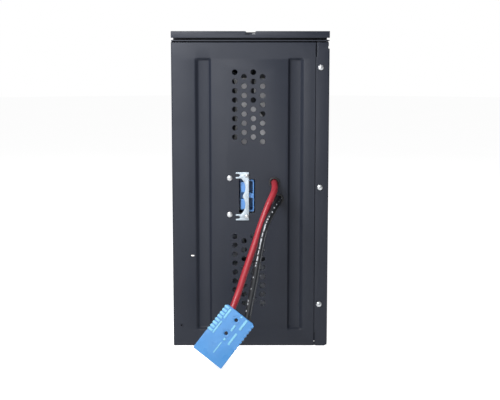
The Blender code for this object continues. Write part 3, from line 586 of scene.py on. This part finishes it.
def lead_path(outlet, route, entry, step):
    """The line of a lead, from its outlet to its entry in the plug."""
    x, z = outlet
    points = [Vector((x, REAR, z)), Vector((x, REAR - 10 * MM, z))]
    points += [Vector((px * MM, REAR - out * MM, pz * MM)) for px, out, pz in route]
    points += [plug_matrix() @ Vector((across, 0, along)) for across, along in entry]
    return smooth_route(points, step)


def make_lead(name, path, material):
    """A round jacket along a path, as a curve."""
    curve = bpy.data.curves.new(name, "CURVE")
    curve.dimensions = "3D"
    curve.bevel_depth = LEAD_RADIUS
    curve.bevel_resolution = 6
    curve.use_fill_caps = True
    spline = curve.splines.new("POLY")
    spline.points.add(len(path) - 1)
    for point, spot in zip(spline.points, path):
        point.co = (*spot, 1.0)
    spline.use_smooth = True
    curve.materials.append(material)
    piece = bpy.data.objects.new(name, curve)
    bpy.context.collection.objects.link(piece)
    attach(piece, "cabinet")
    return piece


def on_jacket(path, index, angle, lift):
    """A point above a lead's jacket, at an angle round it from the side open to the room."""
    along = (path[index + 1] - path[index - 1]).normalized()
    out = (OPEN_SIDE - OPEN_SIDE.dot(along) * along).normalized()
    ray = out * math.cos(angle) + along.cross(out) * math.sin(angle)
    return path[index] + ray * (LEAD_RADIUS + lift)


def seam_highlight_line(path):
    """The fine moulding seam along the outer side of the black lead's lower half, coloured pale as painted
    highlight along the lead's lit edge.
    """
    ridge = ((-40, -0.1 * MM), (-45, 0.12 * MM), (-50, -0.1 * MM))
    first_share, unseen_end = 0.42, 6
    source = bmesh.new()
    add_loft(source, [[on_jacket(path, index, math.radians(degrees), lift) for degrees, lift in ridge]
                      for index in range(round(len(path) * first_share), len(path) - unseen_end)])
    return fit(make_piece("black_lead_seam_highlight", source, SEAM_HIGHLIGHT), "cabinet", slot="black_jacket")


def add_dash(source, path, start, length, middle, half_angle):
    """Add a thin curved bar on a lead's jacket, some points long and centred on an angle round it."""
    angles = [middle + half_angle * share for share in (-1.0, -0.5, 0.0, 0.5, 1.0)]
    outlines = []
    for index in range(start, start + length + 1):
        inner, outer = ([on_jacket(path, index, angle, lift) for angle in angles]
                        for lift in (-0.1 * MM, 0.08 * MM))
        outlines.append([*inner, *reversed(outer)])
    add_loft(source, outlines)


def print_marks(path):
    """Short worn bars of pale ink along the black lead, without any lettering."""
    source = bmesh.new()
    random.seed(7)
    last = len(path) - 8
    for start in range(9, last, 2):
        share = start / last
        dense = 0.35 < share < 0.68
        worn_away = 0.06 if dense else 0.42
        if random.random() < worn_away:
            continue
        length = random.choice((1, 2)) if dense else 1
        middle = math.radians(-14 + 58 * share) + random.uniform(-0.08, 0.08)
        half_angle = random.uniform(0.09, 0.18) * (1.15 - 0.5 * max(0.0, share - 0.6))
        add_dash(source, path, start, length, middle, half_angle)
    return fit(make_piece("black_lead_print", source, INK), "cabinet", slot="black_jacket")


def add_raised(source, low, high, chamfer=0.4 * MM):
    """Add a box with chamfered edges."""
    verts = add_box(source, low, high)
    edges = {edge for vert in verts for edge in vert.link_edges}
    bmesh.ops.bevel(source, geom=list(edges), offset=chamfer, segments=2, profile=0.6, affect="EDGES")


def plug_blank(matrix):
    """The plug's outer form, narrower along the grip: wires enter at local z = 0 and it mates at -Z."""
    face = PLUG_THICKNESS / 2 - FACE_RISE
    wire = PLUG_WIDTH / 2 - GRIP_HEIGHT
    mating = PLUG_WIDTH / 2 - 0.3 * MM
    step = -GRIP_LENGTH - 1 * MM
    top = rounded_outline((-wire, -GRIP_LENGTH), (wire, 0), 3.5 * MM, 5)
    bottom = rounded_outline((-mating, -PLUG_LENGTH), (mating, 0), 1 * MM, 3)
    outline = [*top[:len(top) // 2], (-wire, -GRIP_LENGTH), (-mating, step), *bottom[len(bottom) // 2:],
               (mating, step), (wire, -GRIP_LENGTH)]
    plug = make_piece("plug_shell", prism(outline, -face, face), BLUE)
    plug.matrix_world = matrix
    soften(plug, 0.9 * MM, 3, 60)
    source = bmesh.new()
    inner, outer = HOLE_RING
    for side in (-1, 1):
        low, high = sorted((side * (face - 0.35 * MM), side * (face + 1 * MM)))
        for z in RIVET_HOLES:
            ring = [(inner, low), (outer, low), (outer, high), (inner, high)]
            add_turned(source, ring, (0, 0, -z), "Y", 40, closed=True)
    carve(plug, source)
    return plug


def grip_and_bars(plug):
    """Grip ribs wrapped round both edges of the wire half, and raised bars on both broad faces; the left ribs
    and all bars are in a paler blue, which is painted highlight on their lit faces with some rubbed wear.
    """
    half = PLUG_WIDTH / 2
    face = PLUG_THICKNESS / 2
    pitch = GRIP_LENGTH / GRIP_RIBS
    rib = 0.30 * pitch
    # The wider ribs on the left edge, which faces the light, get the paler blue as painted highlight.
    for side, reach, material in ((-1, 7 * MM, HIGHLIGHT_AND_WEAR_BLUE), (1, 2.6 * MM, BLUE)):
        source = bmesh.new()
        for i in range(GRIP_RIBS):
            middle = -1 * MM - (i + 0.5) * pitch * 0.97
            inner, outer = sorted((side * (half - reach), side * half))
            add_raised(source, (inner, -face, middle - rib), (outer, face, middle + rib))
        carve(plug, source, "UNION", material)
    source = bmesh.new()
    for side in (-1, 1):
        low, high = sorted((side * (face - 2 * MM), side * face))
        for x, start, end, wide in PLUG_BARS:
            add_raised(source, (x - wide / 2, low, -end), (x + wide / 2, high, -start))
        low, high = sorted((side * (face - 2 * MM), side * (face - 0.35 * MM)))
        add_raised(source, (1.5 * MM, low, -62 * MM), (3 * MM, high, -45 * MM), 0.15 * MM)
    carve(plug, source, "UNION", HIGHLIGHT_AND_WEAR_BLUE)


def hollow_out(plug):
    """The plug's mating cavities, wire entries and through holes."""
    flare = 0.8 * MM
    source = bmesh.new()
    for x in (-POLE_SPACING / 2, POLE_SPACING / 2):
        outline = rounded_outline((x - CAVITY_WIDTH / 2, CAVITY_OFFSET),
                                  (x + CAVITY_WIDTH / 2, CAVITY_OFFSET + CAVITY_THICKNESS), 1.0 * MM, 4)
        add_prism(source, outline, -PLUG_LENGTH - PAST, -PLUG_LENGTH + CAVITY_DEPTH, "Z")
        entry = [(0, -ENTRY_DEPTH), (ENTRY_RADIUS, -ENTRY_DEPTH), (ENTRY_RADIUS, -flare),
                 (ENTRY_RADIUS + 3 * flare, 2 * flare), (0, 2 * flare)]
        add_turned(source, entry, (x, 0, 0), "Z", 40)
    carve(plug, source)
    source = bmesh.new()
    face = PLUG_THICKNESS / 2 - FACE_RISE
    above, below, flared = face + 2 * MM, face - 0.4 * MM, RIVET_HOLE_RADIUS + 2.4 * MM
    profile = [(0, -above), (flared, -above), (RIVET_HOLE_RADIUS, -below), (RIVET_HOLE_RADIUS, below),
               (flared, above), (0, above)]
    for z in RIVET_HOLES:
        add_turned(source, profile, (0, 0, -z), "Y", 32)
    carve(plug, source)


def leads_and_plug():
    """The two free leads, the printing on the black one, and the plug that they end in."""
    plug = plug_blank(plug_matrix())
    grip_and_bars(plug)
    hollow_out(plug)
    fit(plug, "cabinet", "plug_housing", slot="blue_nylon", angle=50)
    red_path = lead_path(RED_OUTLET, RED_ROUTE, RED_ENTRY, 4 * MM)
    black_path = lead_path(BLACK_OUTLET, BLACK_ROUTE, BLACK_ENTRY, 4 * MM)
    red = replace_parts(make_lead("red_lead_jacket", red_path, RED), "red_lead")
    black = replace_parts(make_lead("black_lead_jacket", black_path, BLACK), "black_lead")
    fine_path = lead_path(BLACK_OUTLET, BLACK_ROUTE, BLACK_ENTRY, 2 * MM)
    marks = print_marks(fine_path)
    seam_highlight = seam_highlight_line(fine_path)


def grommets():
    """Rubber rings with a soft rolled lip."""
    bore = LEAD_RADIUS + 0.35 * MM
    neck = GROMMET_HOLE_RADIUS - 0.4 * MM
    middle = (bore + GROMMET_RADIUS) / 2
    reach = (GROMMET_RADIUS - bore) / 2
    lip_foot, lip_height = 1.2 * MM, 1.3 * MM
    back, chamfer = 3.5 * MM, 0.5 * MM
    profile = [(middle - reach * across, -lip_foot - lip_height * along)
               for across, along in arc((0, 0), 1, 0, 180, 8)]
    profile += [(GROMMET_RADIUS, -GAP), (neck, -GAP), (neck, SHEET + GAP), (GROMMET_RADIUS, SHEET + GAP),
                (GROMMET_RADIUS, back - chamfer), (GROMMET_RADIUS - chamfer, back), (bore, back)]
    for name, (x, z) in (("red_grommet", RED_OUTLET), ("black_grommet", BLACK_OUTLET)):
        ring = make_piece(name + "_ring", turned(profile, (x, REAR, z), 48), RUBBER)
        fit(ring, "cabinet", name, slot="black_rubber", angle=50)


# ---------------------------------------------------------------- sheet-metal covers

def ease(t):
    """Smooth step from 0 to 1."""
    t = max(0.0, min(1.0, t))
    return t * t * (3 - 2 * t)


def channel_depth(x, z):
    """How far the pressed channels push a point of the rear panel inwards."""
    along = ease((z - CHANNEL_BOTTOM) / CHANNEL_END_RUN) * ease((CHANNEL_TOP - z) / CHANNEL_END_RUN)
    (left_outer, left_inner), (right_inner, right_outer) = LEFT_CHANNEL, RIGHT_CHANNEL
    left = ease((x - left_outer) / CHANNEL_OUTER_RUN) * ease((left_inner - x) / CHANNEL_INNER_RUN)
    right = ease((x - right_inner) / CHANNEL_INNER_RUN) * ease((right_outer - x) / CHANNEL_OUTER_RUN)
    return CHANNEL_DEPTH * along * max(left, right)


def steps_over(start, run, count=8):
    """Places at even steps over a run."""
    return [start + run * i / count for i in range(count + 1)]


def panel_heights():
    """Rows of the rear panel: close together where the channels end and where the edges roll over."""
    low, high = SHELL_LOW.z, SHELL_HIGH.z
    return [low, low + 0.4 * MM, low + 1 * MM, low + PANEL_EDGE_ROLL,
            *steps_over(CHANNEL_BOTTOM, CHANNEL_END_RUN),
            *steps_over(CHANNEL_TOP - CHANNEL_END_RUN, CHANNEL_END_RUN),
            high - PANEL_TOP_ROLL, high - 0.4 * MM, high]


def edge_roll(z):
    """How far the bottom and top edges of the panel curve inwards."""
    bottom = max(0.0, 1 - (z - SHELL_LOW.z) / PANEL_EDGE_ROLL)
    top = max(0.0, 1 - (SHELL_HIGH.z - z) / PANEL_TOP_ROLL)
    return ROLL_DEPTH * (PANEL_EDGE_ROLL * (1 - math.sqrt(1 - bottom**2))
                         + PANEL_TOP_ROLL * (1 - math.sqrt(1 - top**2)))


def folded_sheet(name, section, heights, push):
    """A sheet from (outer, inner) pairs of plan points, run up through heights and moved in by push."""
    outlines = []
    for pair in section:
        outer, inner = ([(x, y + push(x, y, z), z) for z in heights] for x, y in pair)
        outlines.append([*outer, *reversed(inner)])
    source = bmesh.new()
    add_loft(source, outlines)
    return make_piece(name, source, PAINT)


def fold(centre, start, steps=5):
    """Pairs of points round a quarter fold about a centre: the outer one, and one a sheet inside it."""
    outer, inner = (arc(centre, radius, start, 90, steps) for radius in (BEND, BEND - SHEET))
    return list(zip(outer, inner))


def hole(source, x, z, radius, steps=24):
    """A round cut in from the rear face, with a small chamfer at its front."""
    flare = 0.35 * MM
    profile = [(0, -2 * flare), (radius + 3 * flare, -2 * flare), (radius, flare), (radius, THROUGH),
               (0, THROUGH)]
    add_turned(source, profile, (x, REAR, z), "Y", steps)


def screw_holes(source, names):
    """Cuts for the named screws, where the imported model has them."""
    for name in names:
        low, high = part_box(name)
        hole(source, (low[0] + high[0]) / 2, (low[2] + high[2]) / 2, SCREW_HOLE_RADIUS, steps=20)


def panel_section():
    """Plan of the left side and rear panel, from the front round to the step behind the cover's flange."""
    left, right = SHELL_LOW.x, SHELL_HIGH.x
    section = [((left, y), (left + SHEET, y)) for y in (CHASSIS_FRONT, *reversed(SIDE_ROWS))]
    section += fold((left + BEND, REAR + BEND), 180)
    flats = [*steps_over(LEFT_CHANNEL[0], CHANNEL_OUTER_RUN),
             *steps_over(LEFT_CHANNEL[1] - CHANNEL_INNER_RUN, CHANNEL_INNER_RUN),
             *steps_over(RIGHT_CHANNEL[0], CHANNEL_INNER_RUN),
             *steps_over(RIGHT_CHANNEL[1] - CHANNEL_OUTER_RUN, CHANNEL_OUTER_RUN), SEAM_X - 6 * MM]
    section += [((x, REAR), (x, REAR + SHEET)) for x in flats]
    inner_x = SEAM_X - 1.4 * MM
    section += [((SEAM_X - 0.6 * MM, REAR), (inner_x, REAR + SHEET)),
                ((SEAM_X - 0.2 * MM, REAR + 0.4 * MM), (inner_x, REAR + SHEET + 0.4 * MM)),
                ((SEAM_X - 0.1 * MM, REAR + JOGGLE), (inner_x, REAR + JOGGLE + SHEET)),
                ((right, REAR + JOGGLE), (right, REAR + JOGGLE + SHEET))]
    return section


def panel_openings():
    """Vents, screw holes, cable holes, the earth hole and the socket opening, as one cut."""
    source = bmesh.new()
    for top in VENT_TOP_HEIGHTS:
        for column in range(VENT_COLUMNS):
            for row in range(VENT_ROWS):
                z = top - (row + (column % 2) / 2) * VENT_PITCH
                hole(source, VENT_FIRST_X + column * VENT_PITCH, z, VENT_RADIUS)
    screw_holes(source, PANEL_SCREWS + COVER_SCREWS)
    for x, z in (RED_OUTLET, BLACK_OUTLET):
        hole(source, x, z, GROMMET_HOLE_RADIUS, steps=40)
    hole(source, *EARTH_HOLE, EARTH_HOLE_RADIUS)
    half = Vector((OPENING_WIDTH, OPENING_HEIGHT)) / 2
    middle = Vector((SOCKET_X, SOCKET_Z))
    add_prism(source, rounded_outline(middle - half, middle + half, 2 * MM), REAR - PAST, REAR + THROUGH)
    return source


def rear_and_left_panel():
    """Rear panel and left side as one folded sheet."""
    def push(x, y, z):
        on_rear = y <= REAR + JOGGLE + 2 * SHEET
        return channel_depth(x, z) + edge_roll(z) if on_rear else 0.0

    panel = folded_sheet("rear_and_left_panel", panel_section(), panel_heights(), push)
    carve(panel, panel_openings())

    # Behind the slits in the cover's flange, so that they show dark
    source = bmesh.new()
    foot, top = SHELL_LOW.z + 5.6 * MM, SHELL_HIGH.z
    for low, high in ((foot, FLANGE_SLIT_HEIGHT), (top - FLANGE_SLIT_HEIGHT - 1 * MM, top + PAST)):
        add_box(source, (SEAM_X - 0.4 * MM, REAR + 0.8 * MM, low),
                (COVER_LOW.x + 0.7 * MM, REAR + THROUGH, high))
    carve(panel, source)

    # The side's upper edge reaches up to the roof
    left = SHELL_LOW.x
    edge = box((left + 0.02 * MM, REAR + THROUGH, top - 4 * MM),
               (left + SHEET - 0.02 * MM, CHASSIS_FRONT - 0.1 * MM, ROOF_LOW.z - 0.2 * MM))
    carve(panel, edge, "UNION")
    fit(panel, "cabinet", "rear_and_left_shell", slot="painted_steel", angle=28)


def threaded_insert():
    """The lip of the threaded insert in the earth hole."""
    bore, body = 1.2 * MM, 1.6 * MM
    profile = [(bore, -0.35 * MM), (1.5 * MM, -0.5 * MM), (2.1 * MM, -0.35 * MM), (2.3 * MM, -0.02 * MM),
               (body, 0), (body, 3 * MM), (bore, 3 * MM)]
    x, z = EARTH_HOLE
    insert = make_piece("threaded_insert", turned(profile, (x, REAR, z), 28), PAINT)
    fit(insert, "cabinet", slot="painted_steel")


def inspection_mark():
    """A small plain patch of pale paint."""
    middle, half = Vector(INSPECTION_MARK), Vector(INSPECTION_MARK_HALF)
    outline = rounded_outline(middle - half, middle + half, 0.5 * MM, 3)
    patch = prism(outline, REAR - 0.12 * MM, REAR - 0.01 * MM)
    fit(make_piece("inspection_mark", patch, MARK), "cabinet", slot="painted_steel")


def cover_section():
    """Plan of the side cover, from the rounded edge of its flange round to its front edge."""
    left, right = COVER_LOW.x, COVER_HIGH.x
    inner = REAR + SHEET
    section = [((left, REAR + 0.9 * MM), (left, inner)),
               ((left + 0.12 * MM, REAR + 0.45 * MM), (left + 0.3 * MM, inner)),
               ((left + 0.45 * MM, REAR + 0.12 * MM), (left + 0.6 * MM, inner)),
               ((left + 0.9 * MM, REAR), (left + 0.9 * MM, inner)),
               ((left + 8 * MM, REAR), (left + 8 * MM, inner))]
    section += fold((right - BEND, REAR + BEND), 270)
    section += [((right, y), (right - SHEET, y)) for y in (*SIDE_ROWS, CHASSIS_FRONT)]
    return section


def side_cover():
    """Right side cover with its flange, relief slits, corner relief and clipped bottom corner."""
    left, right = COVER_LOW.x, COVER_HIGH.x
    low, high = COVER_LOW.z, COVER_HIGH.z
    heights = [low, low + 0.5 * MM, low + 20 * MM, 0.15, 0.3, COVER_SKIN_TOP - 2 * MM, high - 0.5 * MM, high]

    def push(x, y, z):
        at_edge = min(z - low, high - z) < 0.1 * MM
        return 0.25 * MM if at_edge and y < REAR + SHEET / 2 else 0.0

    cover = folded_sheet("side_cover_skin", cover_section(), heights, push)
    source = bmesh.new()
    add_box(source, (right - SHEET - 0.1 * MM, REAR - PAST, COVER_SKIN_TOP),
            (right + PAST, CHASSIS_FRONT + PAST, high + PAST))
    for bottom, top in ((low - PAST, FLANGE_SLIT_HEIGHT), (high - FLANGE_SLIT_HEIGHT, high + PAST)):
        add_box(source, (left - PAST, REAR - PAST, bottom), (left + FLANGE_SLIT, REAR + PAST, top))
    screw_holes(source, COVER_SCREWS)
    carve(cover, source)

    # The clipped bottom corner and the small relief where the side's upper edge starts
    source = bmesh.new()
    side = COVER_CHAMFER * math.sqrt(2)
    verts = add_box(source, (-side / 2, -side, -side / 2), (side / 2, side, side / 2))
    turn = Matrix.Translation((right, REAR, low)) @ Matrix.Rotation(math.pi / 4, 4, "Y")
    bmesh.ops.transform(source, matrix=turn, verts=verts)
    add_box(source, (right - 2.8 * MM, REAR - PAST, COVER_SKIN_TOP - 0.1 * MM),
            (right + PAST, REAR + 4 * MM, COVER_SKIN_TOP + 3.7 * MM))
    carve(cover, source)
    fit(cover, "right_cover", "side_cover", slot="painted_steel", angle=28)

    # A paler strip beside the upper flange slit: painted highlight on the flange's edge.
    slit_edge = left + FLANGE_SLIT
    line = box((slit_edge, REAR - 0.02 * MM, high - FLANGE_SLIT_HEIGHT),
               (slit_edge + 0.5 * MM, REAR + 0.3 * MM, high - 0.6 * MM))
    fit(make_piece("cover_edge_highlight", line, EDGE_HIGHLIGHT_PAINT), "right_cover", slot="painted_steel")


def lid():
    """Lid with rounded edges and a raised rear lip; the lip has a notch, with a pocket and a slot in it."""
    low, high = LID_LOW, LID_HIGH
    plate_top = high.z - 3.2 * MM
    past = Vector((PAST, PAST, PAST))
    cover = make_piece("lid_cover", box(low, high), PAINT)
    carve(cover, box((low.x - PAST, REAR + LID_LIP, plate_top), high + past))

    left, right = NOTCH
    slope = 3 * MM
    foot = high.z - slope
    outline = [(left, high.z), (left + slope, foot), (right, foot), (right, high.z + PAST),
               (left - slope, high.z + PAST)]
    carve(cover, prism(outline, REAR - PAST, REAR + LID_LIP + 1 * MM))
    soften(cover, 0.6 * MM, 3)

    hollow = box((low.x + SHEET, low.y + SHEET, low.z - PAST),
                 (high.x - SHEET, high.y - SHEET, plate_top - SHEET))
    pocket = box((left, REAR - PAST, foot - 2.7 * MM), (right, REAR + 0.5 * MM, foot + 0.5 * MM))
    slot = box((left + 0.4 * MM, REAR - PAST, foot - 1.9 * MM), (-0.8 * MM, REAR + 1.9 * MM, foot - 0.1 * MM))
    for source in (hollow, pocket, slot):
        carve(cover, source)
    fit(cover, "lid", "top_cover", slot="painted_steel")
    # The pale strip in the right half of the notch is partly wear and partly painted highlight where that side
    # faces the light.
    edge = box((2.6 * MM, REAR + 0.2 * MM, foot - 1.3 * MM),
               (right - 0.4 * MM, REAR + 0.6 * MM, foot - 0.2 * MM))
    fit(make_piece("lid_bare_edge_and_highlight", edge, BARE_AND_HIGHLIGHT), "lid", slot="painted_steel")


def round_front(piece, front_y):
    """Round the edges of a piece's front face."""
    points = piece.data.vertices
    weights = piece.data.attributes.new("bevel_weight_edge", "FLOAT", "EDGE")
    for edge in piece.data.edges:
        if all(points[index].co.y > front_y - 1 * MM for index in edge.vertices):
            weights.data[edge.index].value = 1.0
    modifier = piece.modifiers.new("round", "BEVEL")
    modifier.limit_method = "WEIGHT"
    modifier.width = BEZEL_ROUND
    modifier.segments = 6
    settle(piece)


def bezel():
    """Moulded front with rounded edges, a frame groove, louvres and a hollow back."""
    low, high = BEZEL_LOW, BEZEL_HIGH
    outline = rounded_outline(low.xz, high.xz, BEZEL_CORNER, 8)
    front = make_piece("bezel_shell", prism(outline, low.y, high.y), BEZEL)
    round_front(front, high.y)
    wall = Vector((BEZEL_WALL, BEZEL_WALL))
    inside = rounded_outline(low.xz + wall, high.xz - wall, 4 * MM)
    carve(front, prism(inside, low.y - PAST, high.y - 5 * MM))

    source = bmesh.new()
    for i in range(LOUVRES):
        z = LOUVRE_FOOT + i * LOUVRE_PITCH
        louvre = rounded_outline((-LOUVRE_HALF, z), (LOUVRE_HALF, z + LOUVRE_HEIGHT), 1.6 * MM, 5)
        add_prism(source, louvre, high.y - LOUVRE_DEPTH, high.y + PAST)
    add_prism(source, rounded_outline(BADGE_LOW, BADGE_HIGH, 4 * MM), high.y - BADGE_DEPTH, high.y + PAST)
    carve(front, source)

    start, end = Vector(GROOVE_LOW), Vector(GROOVE_HIGH)
    width = Vector((GROOVE_WIDTH, GROOVE_WIDTH))
    outer = rounded_outline(start, end, GROOVE_CORNER)
    inner = rounded_outline(start + width, end - width, GROOVE_CORNER - GROOVE_WIDTH)
    foot, above = high.y - GROOVE_DEPTH, high.y + 3 * MM
    source = bmesh.new()
    rings = []
    for outline, y in ((outer, foot), (outer, above), (inner, above), (inner, foot)):
        rings.append([source.verts.new((x, y, z)) for x, z in outline])
    for first, second in zip(rings, [*rings[1:], rings[0]]):
        for i in range(len(first)):
            j = (i + 1) % len(first)
            source.faces.new((first[i], first[j], second[j], second[i]))
    carve(front, source)
    fit(front, "bezel", "front_bezel", slot="black_plastic")


# ---------------------------------------------------------------- socket, bracket and screws

def socket():
    """Blue socket housing: a rounded rim with two cavities on one side, and two tongues on the other."""
    # The housing's own axes: X is its length across the poles, Y its thickness, and it mates at -Z
    upright = Matrix(((0, 1, 0, SOCKET_X), (0, 0, 1, SOCKET_LOW.y + SOCKET_LENGTH), (1, 0, 0, SOCKET_Z),
                      (0, 0, 0, 1)))
    half = (SOCKET_HIGH.z - SOCKET_LOW.z) / 2
    depth = (SOCKET_HIGH.x - SOCKET_LOW.x) / 2
    mating = -SOCKET_LENGTH
    past = 3 * MM
    inner_edge, outer_edge = 4.7 * MM, 19.3 * MM
    recess_end = mating + 12 * MM

    outline = rounded_outline((-half, -depth), (half, depth), 2.2 * MM, 5)
    housing = make_piece("socket_shell", prism(outline, mating, 0, "Z"), SOCKET_BLUE)
    housing.matrix_world = upright
    soften(housing, 0.6 * MM, 3, 60)

    gaps, tongue_tops, cavities, saddle = (bmesh.new() for _ in range(4))
    for low, high in ((-half - past, -outer_edge), (-inner_edge, inner_edge), (outer_edge, half + past)):
        add_box(gaps, (low, -depth - past, mating - past), (high, -2.6 * MM, recess_end))
    for side in (-1, 1):
        low, high = sorted((side * (inner_edge - 1 * MM), side * (outer_edge + 1 * MM)))
        add_box(tongue_tops, (low, -depth - past, mating - past), (high, -8.5 * MM, recess_end))
        x = side * POLE_SPACING / 2
        cavity = rounded_outline((x - 8.7 * MM, -1.6 * MM), (x + 8.7 * MM, 8.2 * MM), 1.0 * MM, 4)
        add_prism(cavities, cavity, mating - past, mating + CAVITY_DEPTH, "Z")
        entry = [(0, -ENTRY_DEPTH), (ENTRY_RADIUS, -ENTRY_DEPTH), (ENTRY_RADIUS, past), (0, past)]
        add_turned(cavities, entry, (x, 0, 0), "Z", 40)
    add_box(saddle, (-inner_edge, -depth - past, mating - past), (inner_edge, 4.3 * MM, mating + 4 * MM))
    for source in (gaps, tongue_tops, cavities, saddle):
        carve(housing, source)
    fit(housing, "cabinet", "socket_housing", slot="blue_nylon")


def slotted_ear(top, bottom):
    """The slot of an ear, from its upper to its lower lip."""
    middle = (top + bottom) / 2
    slot_end = (BRACKET_LOW.x + EAR_SLOT_DEPTH - EAR_SLOT_RADIUS, middle)
    return [(BRACKET_LOW.x, middle + EAR_SLOT_RADIUS), *arc(slot_end, EAR_SLOT_RADIUS, 90, -180, 12),
            (BRACKET_LOW.x, middle - EAR_SLOT_RADIUS)]


def scallop(centre_z, first, last):
    """A scallop's edge between two parts of its reach, from 1 at the upper end to -1 at the lower end."""
    reach = math.degrees(math.asin(SCALLOP_SPACING / 2 / SCALLOP_RADIUS))
    return arc((SCALLOP_X, centre_z), SCALLOP_RADIUS, reach * first, reach * (last - first), 16)


def round_corner(before, corner, after, radius=BRACKET_CORNER):
    """Points that round a corner of an outline."""
    corner = Vector(corner)
    start = corner + (Vector(before) - corner).normalized() * radius
    end = corner + (Vector(after) - corner).normalized() * radius
    return [tuple(start.lerp(corner, t).lerp(corner.lerp(end, t), t)) for t in (0.0, 0.25, 0.5, 0.75, 1.0)]


def bracket():
    """Zinc bracket with softened edges."""
    left, right, bottom, top = BRACKET_LOW.x, BRACKET_HIGH.x, BRACKET_LOW.z, BRACKET_HIGH.z
    ear_foot, lower_ear_top = top - EAR_HEIGHT, bottom + EAR_HEIGHT
    tip_x, tip_half, tip_slope = BRACKET_TIP_X, 0.85 * MM, 0.13 * MM
    outline = [*round_corner((left, bottom), (right, bottom), (right, top)),
               *round_corner((right, bottom), (right, top), (left, top)),
               *round_corner((right, top), (left, top), (left, bottom)),
               *slotted_ear(top, ear_foot),
               *round_corner((left, top), (left, ear_foot), (right, ear_foot)),
               (STRIP_LEFT, ear_foot),
               *scallop(SOCKET_Z + SCALLOP_SPACING / 2, 1, -0.84),
               (tip_x + tip_slope, SOCKET_Z + tip_half),
               (tip_x, SOCKET_Z),
               (tip_x + tip_slope, SOCKET_Z - tip_half),
               *scallop(SOCKET_Z - SCALLOP_SPACING / 2, 0.84, -1),
               (STRIP_LEFT, lower_ear_top),
               *round_corner((right, lower_ear_top), (left, lower_ear_top), (left, bottom)),
               *slotted_ear(lower_ear_top, bottom),
               *round_corner((left, top), (left, bottom), (right, bottom))]
    plate = make_piece("retaining_bracket_plate", prism(outline, BRACKET_LOW.y, BRACKET_HIGH.y), ZINC)
    soften(plate, 0.3 * MM, 2, 50)
    fit(plate, "cabinet", "plug_retaining_bracket", slot="bare_zinc")


def screw_profile(radius, length):
    """Half-section of a pan-head screw from its crown to its tip; the underside of its head is at 0."""
    cut_off = 0.12
    steps = 8
    crown = []
    for i in range(steps + 1):
        angle = SCREW_CROWN * i / steps
        crown.append((radius * math.sin(angle) / math.sin(SCREW_CROWN),
                      -SCREW_HEAD_HEIGHT * (math.cos(angle) - cut_off) / (1 - cut_off)))
    return [*crown, (radius, -0.15 * MM), (radius - 0.15 * MM, 0), (SCREW_SHANK_RADIUS, 0),
            (SCREW_SHANK_RADIUS, length), (0, length)]


def cross_recess(radius):
    """Outline of a cross recess, for a head of this radius."""
    arm, thick = 0.575 * radius, 0.14 * radius
    return [(arm, thick), (thick, thick), (thick, arm), (-thick, arm), (-thick, thick), (-arm, thick),
            (-arm, -thick), (-thick, -thick), (-thick, -arm), (thick, -arm), (thick, -thick), (arm, -thick)]


def screws():
    """Pan-head screws with a cross recess; each is turned by its own amount."""
    first_turn, next_turn = 17, 41
    recess_top, recess_depth, recess_taper = 1 * MM, 1.3 * MM, 0.45
    for index, name in enumerate(PANEL_SCREWS + COVER_SCREWS):
        low, high = map(Vector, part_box(name))
        x, z = (low.x + high.x) / 2, (low.z + high.z) / 2
        radius = (high.x - low.x) / 2
        seat = low.y + SCREW_HEAD_HEIGHT
        source = bmesh.new()
        add_turned(source, screw_profile(radius, high.y - seat), (x, seat, z), "Y", 40)
        head = make_piece(name + "_head", source, SCREW_ZINC)
        turn = Matrix.Rotation(math.radians(first_turn + next_turn * index), 4, "Y")
        place = Matrix.Translation((x, low.y, z)) @ turn
        cross = cross_recess(radius)
        source = bmesh.new()
        add_loft(source, [[place @ Vector((u * scale, y, v * scale)) for u, v in cross]
                          for y, scale in ((-recess_top, 1.0), (recess_depth, recess_taper))])
        carve(head, source)
        body = "right_cover" if name in COVER_SCREWS else "cabinet"
        fit(head, body, name, slot="bare_zinc", angle=40)


def finish_nodes():
    """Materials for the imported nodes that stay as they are, by the start of a node's name."""
    lower_tiers = tuple(f"battery_{number:02d}" for number in range(1, 13))
    looks = {lower_tiers: LOWER_CASE, "battery": CASE, "fuse_link": FUSE, "fuse_holder": BEZEL,
             "foot_pad": RUBBER, "hold_down_bar": ZINC, "socket_plate": ZINC, "socket_contact": SHADED_TIN,
             "plug_contact": SHADED_TIN, "inner_red": RED, "socket_red": RED, "inner_black": BLACK,
             "socket_black": BLACK, "tier_cable": BLACK, "fuse_cable": BLACK, "top_panel": PAINT,
             "base_tray": INNER_PAINT, "front_panel": INNER_PAINT, "upper_side_rail": PAINT,
             "upper_shelf": INNER_PAINT, "tier_divider": INNER_PAINT}
    for name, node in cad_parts.items():
        for start, material in looks.items():
            if name.startswith(start):
                for slot in node.material_slots:
                    slot.material = material
                if not node.material_slots:
                    node.data.materials.append(material)
                break


camera()
pale_floor()
surround()
lights()
leads_and_plug()
grommets()
rear_and_left_panel()
threaded_insert()
inspection_mark()
side_cover()
lid()
bezel()
socket()
bracket()
screws()
finish_nodes()
